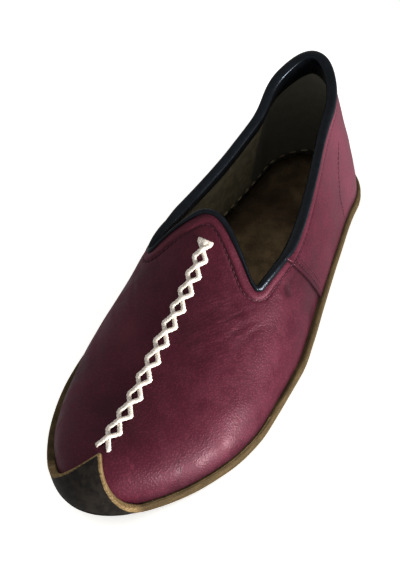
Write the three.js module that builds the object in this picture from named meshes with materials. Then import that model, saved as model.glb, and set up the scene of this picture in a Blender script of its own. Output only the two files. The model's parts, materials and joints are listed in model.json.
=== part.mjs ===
// Traditional slip-on leather shoe, left foot: burgundy upper, one-piece leather sole turned up over the toe
// into a pointed beak, black collar binding and a leather insole.
// Millimetres, +Z up, toe towards -Y, outer side of the foot towards +X.
// Lengths along the foot (u) run from the back of the heel, at the line where upper and sole meet.

import * as THREE from 'three';
import { mergeVertices } from 'three/addons/utils/BufferGeometryUtils.js';

// Sections of the last, at fractions of its length: half widths on the outer and inner side of the foot, the
// height of the ridge above the sole (only a guide for the walls where the collar is open), and the fullness
// of the section across the foot (flank) and upwards (crown).
const SECTIONS = [
  { at: 0.00, lateral: 30.0, medial: 26.5, ridge: 108, flank: 1.7, crown: 1.4 },
  { at: 0.12, lateral: 32.0, medial: 27.5, ridge: 107, flank: 1.7, crown: 1.4 },
  { at: 0.25, lateral: 38.5, medial: 30.5, ridge: 101, flank: 1.7, crown: 1.6 },
  { at: 0.40, lateral: 47.3, medial: 36.5, ridge: 89, flank: 1.8, crown: 1.9 },
  { at: 0.48, lateral: 52.3, medial: 42.0, ridge: 72, flank: 1.9, crown: 2 },
  { at: 0.56, lateral: 56.2, medial: 46.6, ridge: 54, flank: 1.9, crown: 2 },
  { at: 0.70, lateral: 57.2, medial: 46.6, ridge: 38, flank: 1.95, crown: 2 },
  { at: 0.85, lateral: 48.2, medial: 42.6, ridge: 25, flank: 2.1, crown: 2 },
  { at: 1.00, lateral: 37.5, medial: 38.0, ridge: 21, flank: 2.1, crown: 2 },
];

const LAST = {
  length: 264,
  heelRound: 29, // length over which the heel end closes
  toeRound: 61, // length over which the toe end closes
  toeDrop: 24, // length over which the ridge falls to the sole at the toe
  toeSwing: 2.5, // the toe's middle lies this far to the outer side
  swingFrom: 158, // and the line of the foot bends from here on
  heelLean: 4, // the top of the heel leans forward by this much
  heelHollow: 1.8, // and the middle of the heel is hollow by this much
  leanReach: 106, // length from the heel over which the lean fades
  leanFade: 1.5, // and how fast it fades
  innerLean: 5.2, // the inner wall leans in by this much at the height of the heel's edge
  innerAside: 15, // in full from this far beside the middle line on
  innerRise: [14, 46], // between these lengths the lean comes in
  innerFade: [112, 140], // and between these it goes again
};

const COLLAR = {
  back: 79, // height of the edge at the back of the heel, above the sole
  corner: 43.8, // height at the low corner between quarter and throat tab
  sweep: 2.4, // how the edge sweeps down between them
  dip: 4, // the corner lies this far below the sweep
  dipReach: 20, // length over which the edge dips to it
  cornerAt: 143.5, // place of the low corner along the foot
  cornerFoot: 175, // where the rib through that corner leaves the sole
  peakAt: 126, // place of the throat tab's top
  peakAside: 5, // it stands this far to the outer side
  peakRound: 0.7, // roundness of the throat tab's top
  roundBack: 4.5, // length of quarter edge over which the low corner is rounded
  roundTab: 0.14, // and share of the tab's edge
};

const UPPER = { wall: 1.8, lap: 1.2, seamFoot: 101, seamTop: 121 };
const SOLE = {
  thick: 5,
  ledge: 2.4, // how far the sole stands out beside the upper
  innerLedge: 2.6, // and how much more on the inner side of the forefoot
  innerFrom: [135, 175],
  edgeRound: 1,
  spring: 5.5,
  springFrom: 206,
};
const BEAK = {
  height: 28, // of the tip, along the upper
  aside: 4.4, // the tip stands this far to the outer side of the toe's middle
  lateral: 25, // reach of the flanks on either side of the tip
  medial: 38,
  curve: 1.75, // how hollow the flanks are
  thick: 3.7,
  bend: 6, // radius at which the sole turns up
  blend: 0.35, // part of the reach over which sole edge becomes bend
  least: 0.5, // no flank lower than this
};
const BINDING = { outside: 2.2, inside: 9, leather: 0.8, bead: 0.3, turn: 0.6 };
const INSOLE = { thick: 2.5, edgeRound: 0.5 };
const GAP = 0.3; // play between pieces that meet
const BEAK_GAP = 0.55; // the beak hugs a doubly curved toe

// Fineness of the faceted solids
const RIBS = { heel: 14, seam: 13, vamp: 20, seamStep: 0.25, spread: 1.2, mostSlant: 1.6 };
const UPPER_ROWS = { count: 12, bunch: 1.4 }; // below the binding, closer together near the sole
const BEAK_ROWS = 9;
const EDGE_STEPS = 3;
const RIB_STEPS = 80;
const MIDDLE_MARGIN = 18; // the middle rows of a plate end this far from heel and toe
const MERGE = 1e-3;

// Monotone curve through one column of the section table.
function tableCurve(rows, column) {
  const x = rows.map((row) => row.at);
  const y = rows.map((row) => row[column]);
  const rise = x.slice(1).map((end, k) => (y[k + 1] - y[k]) / (end - x[k]));
  const slope = y.map((_, k) => {
    const before = rise[k - 1];
    const after = rise[k];
    if (before === undefined || after === undefined) return before ?? after;
    return before * after <= 0 ? 0 : (2 * before * after) / (before + after);
  });
  return (at) => {
    const place = Math.min(Math.max(at, 0), 1);
    const k = Math.min(Math.max(x.findIndex((end) => end >= place) - 1, 0), x.length - 2);
    const width = x[k + 1] - x[k];
    const t = (place - x[k]) / width;
    const rest = 1 - t;
    return (
      y[k] * (1 + 2 * t) * rest * rest +
      y[k + 1] * (3 - 2 * t) * t * t +
      width * t * rest * (slope[k] * rest - slope[k + 1] * t)
    );
  };
}

const lateralWidth = tableCurve(SECTIONS, 'lateral');
const medialWidth = tableCurve(SECTIONS, 'medial');
const ridgeHeight = tableCurve(SECTIONS, 'ridge');
const flankFullness = tableCurve(SECTIONS, 'flank');
const crownFullness = tableCurve(SECTIONS, 'crown');

const clamp = THREE.MathUtils.clamp;
const lerp = THREE.MathUtils.lerp;
const roundEnd = (distance, reach) => Math.sqrt(1 - (1 - clamp(distance / reach, 0, 1)) ** 2);

// Half width of the last at u, on one side of the foot (+1 outer, -1 inner).
function halfWidth(u, side) {
  const width = side > 0 ? lateralWidth(u / LAST.length) : medialWidth(u / LAST.length);
  return width * roundEnd(u, LAST.heelRound) * roundEnd(LAST.length - u, LAST.toeRound);
}

// Sideways place of the foot's middle line.
const middleLine = (u) =>
  LAST.toeSwing * clamp((u - LAST.swingFrom) / (LAST.length - LAST.swingFrom), 0, 1.2) ** 2;

const ridge = (u) => ridgeHeight(u / LAST.length) * roundEnd(LAST.length - u, LAST.toeDrop);

// Lift of the sole at the toe.
const springAt = (u) =>
  SOLE.spring * clamp((u - SOLE.springFrom) / (LAST.length - SOLE.springFrom), 0, 1.2) ** 2;
const soleTop = (u) => SOLE.thick + springAt(u);

// Height of the last's surface above the sole, over the point at u and across the foot at x.
function archHeight(u, x) {
  const across = clamp(Math.abs(x) / Math.max(halfWidth(u, Math.sign(x) || 1), 1e-6), 0, 1);
  const flank = flankFullness(u / LAST.length);
  return ridge(u) * (1 - across ** flank) ** (1 / crownFullness(u / LAST.length));
}

// The same surface, read the other way: how far out the wall stands at a height above the sole.
function wallOut(u, height, side) {
  const up = clamp(height / Math.max(ridge(u), 1e-6), 0, 1);
  const crown = crownFullness(u / LAST.length);
  return side * halfWidth(u, side) * (1 - up ** crown) ** (1 / flankFullness(u / LAST.length));
}

function heelLean(u, height) {
  const up = clamp(height / COLLAR.back, 0, 1.1);
  const near = clamp(1 - u / LAST.leanReach, 0, 1) ** LAST.leanFade;
  return near * (LAST.heelLean * up * up + LAST.heelHollow * Math.sin(Math.PI * Math.min(up, 1)));
}

// How far the inner wall leans in towards the collar.
function innerLean(u, x, height) {
  const { smoothstep } = THREE.MathUtils;
  const along = smoothstep(u, ...LAST.innerRise) * (1 - smoothstep(u, ...LAST.innerFade));
  return LAST.innerLean * along * smoothstep(-x, 0, LAST.innerAside) * (height / COLLAR.back);
}

// Height of the collar's edge along the quarters.
function collarHeight(u) {
  const behind = COLLAR.cornerAt - u;
  const dip = COLLAR.dip * (1 - clamp(1 - behind / COLLAR.dipReach, 0, 1) ** 2);
  const sweep = clamp(behind / COLLAR.cornerAt, 0, 1) ** COLLAR.sweep;
  return COLLAR.corner + dip + (COLLAR.back - COLLAR.corner - COLLAR.dip) * sweep;
}

// A place on the last, from its length, its place across the foot and its height above the sole's top.
function place(u, x, height) {
  const across = x + middleLine(u) + innerLean(u, x, height);
  return new THREE.Vector3(across, -(u + heelLean(u, height)), soleTop(u) + GAP + height);
}

// Edge of the throat tab in plan, as length along the foot and place across: 1 at the low corner, 0 at the
// tab's top.
function tabEdge(part, side) {
  const t = part * part;
  const round = 2 * COLLAR.peakRound;
  const corner = wallOut(COLLAR.cornerAt, COLLAR.corner, side);
  return new THREE.Vector2(
    lerp(COLLAR.peakAt, COLLAR.cornerAt, t),
    lerp(COLLAR.peakAside, corner, Math.sqrt((t * (t + round)) / (1 + round))),
  );
}

const quarterEdge = (u, side) => new THREE.Vector2(u, wallOut(u, collarHeight(u), side));

// End of a rib on the collar in plan, along the quarter up to `top` or on the tab at `part`, with the low
// corner between them rounded.
function collarEnd(top, part, side) {
  const onTab = part < 1;
  const ahead = onTab ? (1 - part) / COLLAR.roundTab : (top - COLLAR.cornerAt) / COLLAR.roundBack;
  if (Math.abs(ahead) >= 1) return onTab ? tabEdge(part, side) : quarterEdge(top, side);
  const corner = new THREE.QuadraticBezierCurve(
    quarterEdge(COLLAR.cornerAt - COLLAR.roundBack, side),
    quarterEdge(COLLAR.cornerAt, side),
    tabEdge(1 - COLLAR.roundTab, side),
  );
  return corner.getPoint((1 + ahead) / 2);
}

// Path of a quarter rib, which leans forward towards the side seam and ends at the collar.
function quarterPath(foot, side) {
  const forward = (UPPER.seamTop - UPPER.seamFoot) * THREE.MathUtils.smoothstep(foot, 0, UPPER.seamFoot);
  const settle = clamp((foot - UPPER.seamFoot) / (COLLAR.cornerFoot - UPPER.seamFoot), 0, 1);
  const top = foot + lerp(forward, COLLAR.cornerAt - COLLAR.cornerFoot, settle);
  const end = collarEnd(top, 1, side);
  const rounded = top > COLLAR.cornerAt - COLLAR.roundBack;
  const height = rounded ? archHeight(end.x, end.y) : collarHeight(top);
  return (t) => {
    const u = lerp(foot, end.x, t);
    return place(u, wallOut(u, height * t, side), height * t);
  };
}

// Path of a vamp rib, straight in plan from the sole to the edge of the throat tab.
function vampPath(foot, side, part) {
  const edge = collarEnd(COLLAR.cornerAt, part, side);
  const start = halfWidth(foot, side) * side;
  return (t) => {
    const along = t * t;
    const u = lerp(foot, edge.x, along);
    const x = lerp(start, edge.y, along);
    return place(u, x, archHeight(u, x));
  };
}

// Points at equal steps along a path.
function evenSteps(path) {
  const samples = 4 * RIB_STEPS;
  const fine = Array.from({ length: samples + 1 }, (_, k) => path(k / samples));
  const run = [0];
  fine.slice(1).forEach((point, k) => run.push(run[k] + point.distanceTo(fine[k])));
  const total = run[run.length - 1];
  let k = 1;
  const points = Array.from({ length: RIB_STEPS + 1 }, (_, step) => {
    const goal = (total * step) / RIB_STEPS;
    while (k < run.length - 1 && run[k] < goal) k += 1;
    return fine[k - 1].clone().lerp(fine[k], (goal - run[k - 1]) / (run[k] - run[k - 1]));
  });
  return { points, total };
}

// Feet of the ribs on one side, from the heel to the toe.
function ribFeet() {
  const feet = [];
  const push = (foot, part, quarter) => feet.push({ foot, part, quarter });
  for (let k = 0; k < RIBS.heel; k += 1) {
    push((UPPER.seamFoot - RIBS.seamStep) * (1 - Math.cos((Math.PI / 2) * (k / (RIBS.heel - 1)))), 1, true);
  }
  for (let k = 0; k < RIBS.seam; k += 1) {
    push(lerp(UPPER.seamFoot + RIBS.seamStep, COLLAR.cornerFoot, k / RIBS.seam), 1, false);
  }
  for (let k = 0; k <= RIBS.vamp; k += 1) {
    const along = Math.sin((Math.PI / 2) * (k / RIBS.vamp));
    push(lerp(COLLAR.cornerFoot, LAST.length, along), 1 - (k / RIBS.vamp) ** RIBS.spread, false);
  }
  return feet;
}

// All ribs, once around the shoe: heel, outer side, toe, inner side.
function makeRibs() {
  const feet = ribFeet();
  const inner = feet.slice(1, -1).reverse();
  const ribs = [...feet.map((f) => ({ ...f, side: 1 })), ...inner.map((f) => ({ ...f, side: -1 }))];
  ribs.forEach((rib) => {
    const onTab = rib.foot >= COLLAR.cornerFoot;
    const path = onTab ? vampPath(rib.foot, rib.side, rib.part) : quarterPath(rib.foot, rib.side);
    Object.assign(rib, evenSteps(path));
  });
  ribs.forEach((rib, i) => {
    const before = ribs.at(i - 1).points;
    const after = ribs[(i + 1) % ribs.length].points;
    rib.normals = rib.points.map((_, k) => {
      const across = after[k].clone().sub(before[k]);
      const up = rib.points[Math.min(k + 1, RIB_STEPS)].clone().sub(rib.points[Math.max(k - 1, 0)]);
      return up.cross(across).normalize();
    });
    rib.out = rib.normals[0].setZ(0).normalize();
    const edge = after[RIB_STEPS].clone().sub(before[RIB_STEPS]).normalize();
    const end = rib.points[RIB_STEPS].clone().sub(rib.points[RIB_STEPS - 1]).normalize();
    rib.slant = Math.min(1 / Math.sqrt(1 - end.dot(edge) ** 2), RIBS.mostSlant);
  });
  return ribs;
}

// Point of a rib at a distance along it from the sole, moved outwards by `off`.
// It may run on past the collar.
function onRib(rib, distance, off) {
  const step = clamp((distance / rib.total) * RIB_STEPS, 0, RIB_STEPS);
  const k = Math.min(Math.floor(step), RIB_STEPS - 1);
  const point = rib.points[k].clone().lerp(rib.points[k + 1], step - k);
  const normal = rib.normals[k].clone().lerp(rib.normals[k + 1], step - k).normalize();
  const past = rib.points[RIB_STEPS].clone().sub(rib.points[RIB_STEPS - 1]).normalize();
  return point.addScaledVector(normal, off).addScaledVector(past, Math.max(distance - rib.total, 0));
}

// Arc length along the foot of the upper from the toe's middle to each rib.
function toeDistances(ribs) {
  const toe = ribs.findIndex((rib) => rib.foot === LAST.length);
  const distances = new Array(ribs.length).fill(0);
  [1, -1].forEach((way) => {
    for (let k = 1; k < ribs.length / 2; k += 1) {
      const here = (toe + way * k + ribs.length) % ribs.length;
      const last = (here - way + ribs.length) % ribs.length;
      distances[here] = distances[last] + ribs[here].points[0].distanceTo(ribs[last].points[0]);
    }
  });
  const heel = ribs.findIndex((rib) => rib.foot === 0);
  distances[heel] = LAST.length;
  return distances;
}

// Closed solid from rows of points, one row for each rib; `ring` also joins each row's end to its start.
function solidFromRows(rows, ring) {
  const columns = rows[0].length;
  const index = [];
  rows.forEach((_, i) => {
    const next = (i + 1) % rows.length;
    for (let j = 0; j < (ring ? columns : columns - 1); j += 1) {
      const up = (j + 1) % columns;
      const corners = [i * columns + j, next * columns + j, next * columns + up, i * columns + up];
      index.push(corners[0], corners[1], corners[2], corners[0], corners[2], corners[3]);
    }
  });
  const shape = new THREE.BufferGeometry().setFromPoints(rows.flat());
  shape.setIndex(index);
  const merged = mergeVertices(shape, MERGE);
  const kept = [];
  const all = merged.index.array;
  for (let k = 0; k < all.length; k += 3) {
    const [a, b, c] = all.slice(k, k + 3);
    if (a !== b && b !== c && c !== a) kept.push(a, b, c);
  }
  merged.setIndex(signedVolume(merged, kept) < 0 ? kept.reverse() : kept);
  merged.computeVertexNormals();
  return merged;
}

function signedVolume(geometry, index) {
  const corner = (k) => new THREE.Vector3().fromBufferAttribute(geometry.attributes.position, k);
  let volume = 0;
  for (let k = 0; k < index.length; k += 3) {
    volume += corner(index[k]).dot(corner(index[k + 1]).cross(corner(index[k + 2])));
  }
  return volume;
}

// Upper: outer skin, collar edge, inner skin and the edge on the sole; the quarters lap over the vamp.
function upperGeometry(ribs) {
  const { count, bunch } = UPPER_ROWS;
  const fractions = Array.from({ length: count + 1 }, (_, j) => (j / count) ** bunch);
  return solidFromRows(
    ribs.map((rib) => {
      const outside = rib.quarter ? UPPER.lap : 0;
      const bound = rib.total - (BINDING.inside + GAP) * rib.slant;
      const rim = rib.total - BINDING.outside * rib.slant;
      const distances = [...fractions.map((f) => bound * f), rim, rib.total];
      const outer = distances.map((distance) => onRib(rib, distance, outside));
      const inner = distances.map((distance) => onRib(rib, distance, -UPPER.wall));
      return [...outer, ...inner.reverse()];
    }),
    true,
  );
}

// A plan point of the rib's foot moved outwards, at a height above the bottom of the sole.
function footPoint(rib, off, height) {
  const point = rib.points[0].clone().addScaledVector(rib.out, off);
  return point.setZ(springAt(-point.y) + height);
}

// Middle of a plate, on the foot's own line, for the rows that close its top and bottom.
function middlePoint(rib, height) {
  const u = lerp(MIDDLE_MARGIN, LAST.length - MIDDLE_MARGIN, rib.foot / LAST.length);
  return new THREE.Vector3(middleLine(u), -u, springAt(u) + height);
}

// Width of the sole's ledge beside a rib's foot.
const ledgeAt = (rib) =>
  SOLE.ledge + (rib.side < 0 ? SOLE.innerLedge * THREE.MathUtils.smoothstep(rib.foot, ...SOLE.innerFrom) : 0);

// Outsole: flat bottom, rounded edge and ledge; at the toe the leather bends up along the upper to the beak.
function outsoleGeometry(ribs) {
  const distances = toeDistances(ribs);
  return solidFromRows(
    ribs.map((rib, i) => {
      const fromTip = rib.side * distances[i] - BEAK.aside;
      const rise = clamp(1 - Math.abs(fromTip) / (fromTip > 0 ? BEAK.lateral : BEAK.medial), 0, 1);
      const climb = BEAK.height * rise ** BEAK.curve;
      const blend = THREE.MathUtils.smoothstep(rise, 0, BEAK.blend);
      const off = lerp(ledgeAt(rib), BEAK_GAP + BEAK.thick, blend);
      const bend = lerp(SOLE.edgeRound, BEAK.bend, blend);
      const inset = off - bend;
      const lift = Math.min(bend, SOLE.thick);
      const corner = Array.from({ length: EDGE_STEPS + 1 }, (_, k) => {
        const turn = (Math.PI / 2) * (k / EDGE_STEPS);
        return footPoint(rib, inset + bend * Math.sin(turn), lift * (1 - Math.cos(turn)));
      });
      const top = footPoint(rib, off, SOLE.thick);
      const seat = footPoint(rib, BEAK_GAP, SOLE.thick);
      const steps = Array.from({ length: BEAK_ROWS }, (_, k) => (k + 1) / BEAK_ROWS);
      const climbs = climb > BEAK.least;
      const outer = steps.map((t) => (climbs ? onRib(rib, climb * t, off) : top.clone()));
      const inner = steps.map((t) => (climbs ? onRib(rib, climb * t, BEAK_GAP) : seat.clone()));
      return [
        middlePoint(rib, 0),
        ...corner,
        top,
        ...outer,
        ...inner.reverse(),
        seat,
        footPoint(rib, -UPPER.wall - GAP, SOLE.thick),
        middlePoint(rib, SOLE.thick),
      ];
    }),
    false,
  );
}

// Insole: a plate just inside the wall, on the sole.
function insoleGeometry(ribs) {
  const inset = -UPPER.wall - 2 * GAP;
  const low = SOLE.thick + GAP;
  const high = low + INSOLE.thick;
  return solidFromRows(
    ribs.map((rib) => [
      middlePoint(rib, low),
      footPoint(rib, inset, low),
      footPoint(rib, inset, high - INSOLE.edgeRound),
      footPoint(rib, inset - INSOLE.edgeRound, high),
      middlePoint(rib, high),
    ]),
    false,
  );
}

// Collar binding: a strip folded over the collar edge, with a small bead outside and a wide leg inside.
function bindingGeometry(ribs) {
  const { outside, inside, leather, bead, turn } = BINDING;
  return solidFromRows(
    ribs.map((rib) => {
      const skin = GAP + (rib.quarter ? UPPER.lap : 0);
      const lining = -UPPER.wall - GAP;
      const middle = (skin + lining) / 2;
      const section = [
        { down: outside, off: skin },
        { down: -GAP, off: skin },
        { down: -GAP, off: lining },
        { down: outside, off: lining },
        { down: inside, off: lining },
        { down: inside, off: lining - leather },
        { down: turn, off: lining - leather },
        { down: -GAP - turn, off: lining - leather / 2 },
        { down: -GAP - leather - bead, off: middle },
        { down: -GAP - turn, off: skin + leather },
        { down: turn, off: skin + leather + bead },
        { down: outside - turn, off: skin + leather + bead },
        { down: outside, off: skin + leather },
      ];
      return section.map(({ down, off }) => onRib(rib, rib.total - down * rib.slant, off));
    }),
    true,
  );
}

function piece(name, geometry, color, roughness) {
  const material = new THREE.MeshStandardMaterial({ color, roughness, metalness: 0 });
  const mesh = new THREE.Mesh(geometry, material);
  mesh.name = name;
  return mesh;
}

const ribs = makeRibs();
const pieces = new THREE.Group();
pieces.add(
  piece('upper', upperGeometry(ribs), 0x5a2535, 0.5),
  piece('outsole', outsoleGeometry(ribs), 0x2b2621, 0.7),
  piece('insole', insoleGeometry(ribs), 0x3b2f1d, 0.8),
  piece('collar_binding', bindingGeometry(ribs), 0x14181f, 0.4),
);

// The origin is in the middle of the box around the shoe, on the floor.
const box = new THREE.Box3().setFromObject(pieces);
const centre = box.getCenter(new THREE.Vector3());
pieces.position.set(-centre.x, -centre.y, -box.min.z);

const shoe = new THREE.Group();
shoe.add(pieces);

export default shoe;
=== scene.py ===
"""Looks of a traditional slip-on leather shoe for the left foot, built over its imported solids.

Sizes are millimetres of the shoe itself: u runs along the foot from the back of the heel to the toe, x across
it with the outer side positive, and heights start at the top of the sole. Meshes are made in metres, in the
part's own frame.
"""

from __future__ import annotations

import json
import logging
import math
from collections.abc import Sequence
from dataclasses import dataclass, field
from enum import Enum

import bmesh
import bpy
import numpy as np
from mathutils import Matrix, Vector

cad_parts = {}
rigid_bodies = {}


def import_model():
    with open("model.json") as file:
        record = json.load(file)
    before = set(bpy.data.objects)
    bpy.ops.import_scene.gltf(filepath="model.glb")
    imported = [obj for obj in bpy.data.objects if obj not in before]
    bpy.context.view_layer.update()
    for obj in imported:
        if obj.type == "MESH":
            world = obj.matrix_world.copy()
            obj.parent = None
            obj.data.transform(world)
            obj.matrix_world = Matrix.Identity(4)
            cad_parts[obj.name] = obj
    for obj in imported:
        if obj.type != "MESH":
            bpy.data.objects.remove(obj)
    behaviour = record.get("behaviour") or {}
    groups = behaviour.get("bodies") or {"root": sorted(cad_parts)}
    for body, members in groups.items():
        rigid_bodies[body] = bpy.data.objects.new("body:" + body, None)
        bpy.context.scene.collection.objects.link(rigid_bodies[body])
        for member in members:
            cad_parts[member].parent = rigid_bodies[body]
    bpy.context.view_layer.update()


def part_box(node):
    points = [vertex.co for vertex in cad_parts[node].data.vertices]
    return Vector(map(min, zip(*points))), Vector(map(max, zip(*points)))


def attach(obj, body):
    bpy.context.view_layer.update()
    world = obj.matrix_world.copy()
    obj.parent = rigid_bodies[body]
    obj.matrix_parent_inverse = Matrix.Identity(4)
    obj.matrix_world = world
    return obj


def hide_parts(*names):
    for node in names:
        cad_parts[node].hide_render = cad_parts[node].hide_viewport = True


LOG = logging.getLogger("shoe")
MM = 0.001
BODY = "root"
MERGE = 2e-6


def smooth(value: np.ndarray, low: float, high: float) -> np.ndarray:
    """Soft step from 0 at `low` to 1 at `high`."""
    part = np.clip((np.asarray(value, float) - low) / (high - low), 0, 1)
    return part * part * (3 - 2 * part)


def bell(distance: np.ndarray, width: float) -> np.ndarray:
    """Soft bump of height 1 that falls off over `width`."""
    return np.exp(-((distance / width) ** 2))


def blend(start: np.ndarray, end: np.ndarray, part: np.ndarray) -> np.ndarray:
    """Straight blend between two values or arrays."""
    return start + (end - start) * part


def unit(vectors: np.ndarray) -> np.ndarray:
    """The vectors, each at length 1."""
    return vectors / np.maximum(np.linalg.norm(vectors, axis=-1, keepdims=True), 1e-12)


def round_end(distance: np.ndarray, reach: float) -> np.ndarray:
    """Quarter circle from 0 to 1, by which an end of the last closes."""
    return np.sqrt(1 - (1 - np.clip(distance / reach, 0, 1)) ** 2)


def run_along(points: np.ndarray) -> np.ndarray:
    """Length along each row of points from its start."""
    step = np.linalg.norm(np.diff(points, axis=-2), axis=-1)
    return np.concatenate([np.zeros((*step.shape[:-1], 1)), np.cumsum(step, axis=-1)], axis=-1)


class Side(Enum):
    """Sides of the foot, as the sign of x."""

    OUTER = 1
    INNER = -1


@dataclass(frozen=True)
class Section:
    """One section of the last: half widths, ridge height and fullness across (flank) and upwards (crown)."""

    at: float
    outer: float
    inner: float
    ridge: float
    flank: float
    crown: float


SECTIONS = (
    Section(0.00, 30.0, 26.5, 108, 1.7, 1.4),
    Section(0.12, 32.0, 27.5, 107, 1.7, 1.4),
    Section(0.25, 38.5, 30.5, 101, 1.7, 1.6),
    Section(0.40, 47.3, 36.5, 89, 1.8, 1.9),
    Section(0.48, 52.3, 42.0, 72, 1.9, 2.0),
    Section(0.56, 56.2, 46.6, 54, 1.9, 2.0),
    Section(0.70, 57.2, 46.6, 38, 1.95, 2.0),
    Section(0.85, 48.2, 42.6, 25, 2.1, 2.0),
    Section(1.00, 37.5, 38.0, 21, 2.1, 2.0),
)


@dataclass(frozen=True)
class Last:
    """The foot's form that upper, sole and insole follow, with the sizes of the solids."""

    length: float = 264.0
    heel_round: float = 29.0
    toe_round: float = 61.0
    toe_drop: float = 24.0
    toe_swing: float = 2.5
    swing_from: float = 158.0
    heel_lean: float = 4.0
    heel_hollow: float = 1.8
    lean_height: float = 79.0
    lean_reach: float = 106.0
    lean_fade: float = 1.5
    inner_lean: float = 5.2
    inner_aside: float = 15.0
    inner_rise: tuple[float, float] = (14.0, 46.0)
    inner_fade: tuple[float, float] = (112.0, 140.0)
    sole_thick: float = 5.0
    spring: float = 5.5
    spring_from: float = 206.0
    gap: float = 0.3

    def column(self, name: str, u: np.ndarray) -> np.ndarray:
        """Monotone curve through one column of the section table.

        Args:
            name: Column of the table.
            u: Places along the foot.

        Returns:
            The column's value at each place.
        """
        at = np.array([section.at for section in SECTIONS])
        value = np.array([getattr(section, name) for section in SECTIONS], float)
        rise = np.diff(value) / np.diff(at)
        before, after = rise[:-1], rise[1:]
        same_way = before * after > 0
        total = np.where(same_way, before + after, 1)
        slope = np.concatenate([rise[:1], np.where(same_way, 2 * before * after / total, 0), rise[-1:]])
        place = np.clip(np.asarray(u, float) / self.length, 0, 1)
        k = np.clip(np.searchsorted(at, place) - 1, 0, len(at) - 2)
        width = at[k + 1] - at[k]
        t = (place - at[k]) / width
        rest = 1 - t
        ends = value[k] * (1 + 2 * t) * rest**2 + value[k + 1] * (3 - 2 * t) * t**2
        return ends + width * t * rest * (slope[k] * rest - slope[k + 1] * t)

    def half_width(self, u: np.ndarray, side: np.ndarray) -> np.ndarray:
        """Half width of the last at u, on one side of the foot."""
        width = np.where(np.asarray(side) > 0, self.column("outer", u), self.column("inner", u))
        return width * round_end(u, self.heel_round) * round_end(self.length - u, self.toe_round)

    def ahead(self, u: np.ndarray, start: float) -> np.ndarray:
        """Square of the way from `start` to the toe, which may run on a little past it."""
        return np.clip((u - start) / (self.length - start), 0, 1.2) ** 2

    def middle(self, u: np.ndarray) -> np.ndarray:
        """Sideways place of the foot's middle line."""
        return self.toe_swing * self.ahead(u, self.swing_from)

    def lift(self, u: np.ndarray) -> np.ndarray:
        """Rise of the sole at the toe."""
        return self.spring * self.ahead(u, self.spring_from)

    def ridge(self, u: np.ndarray) -> np.ndarray:
        """Height of the last's top line above the sole."""
        return self.column("ridge", u) * round_end(self.length - u, self.toe_drop)

    def arch(self, u: np.ndarray, x: np.ndarray) -> np.ndarray:
        """Height of the last's surface above the sole at (u, x)."""
        side = np.where(np.asarray(x) < 0, Side.INNER.value, Side.OUTER.value)
        across = np.clip(np.abs(x) / np.maximum(self.half_width(u, side), 1e-6), 0, 1)
        return self.ridge(u) * (1 - across ** self.column("flank", u)) ** (1 / self.column("crown", u))

    def wall(self, u: np.ndarray, height: np.ndarray, side: np.ndarray) -> np.ndarray:
        """Place across the foot of the wall at a height above the sole."""
        up = np.clip(height / np.maximum(self.ridge(u), 1e-6), 0, 1)
        part = (1 - up ** self.column("crown", u)) ** (1 / self.column("flank", u))
        return side * self.half_width(u, side) * part

    def lean(self, u: np.ndarray, height: np.ndarray) -> np.ndarray:
        """How far the heel's wall leans forward at a height."""
        up = np.clip(height / self.lean_height, 0, 1.1)
        near = np.clip(1 - u / self.lean_reach, 0, 1) ** self.lean_fade
        return near * (self.heel_lean * up**2 + self.heel_hollow * np.sin(np.pi * np.minimum(up, 1)))

    def lean_in(self, u: np.ndarray, x: np.ndarray, height: np.ndarray) -> np.ndarray:
        """How far the inner wall leans in towards the collar."""
        along = smooth(u, *self.inner_rise) * (1 - smooth(u, *self.inner_fade))
        return self.inner_lean * along * smooth(-x, 0, self.inner_aside) * height / self.lean_height

    def place(self, u: np.ndarray, x: np.ndarray, height: np.ndarray) -> np.ndarray:
        """Points of the last from length, place across and height above the sole."""
        u, x, height = np.broadcast_arrays(*(np.asarray(value, float) for value in (u, x, height)))
        up = self.sole_thick + self.lift(u) + self.gap + height
        across = x + self.middle(u) + self.lean_in(u, x, height)
        return np.stack([across, -(u + self.lean(u, height)), up], -1)

    def skin(self, u: np.ndarray, x: np.ndarray) -> np.ndarray:
        """Points on the last's surface over the plan places (u, x)."""
        return self.place(u, x, self.arch(u, x))

    def skin_normal(self, u: np.ndarray, x: np.ndarray, step: float = 0.4) -> np.ndarray:
        """Outward directions of the surface at the plan places (u, x)."""
        along = self.skin(u + step, x) - self.skin(u - step, x)
        across = self.skin(u, x + step) - self.skin(u, x - step)
        return unit(np.cross(along, across))


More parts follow.
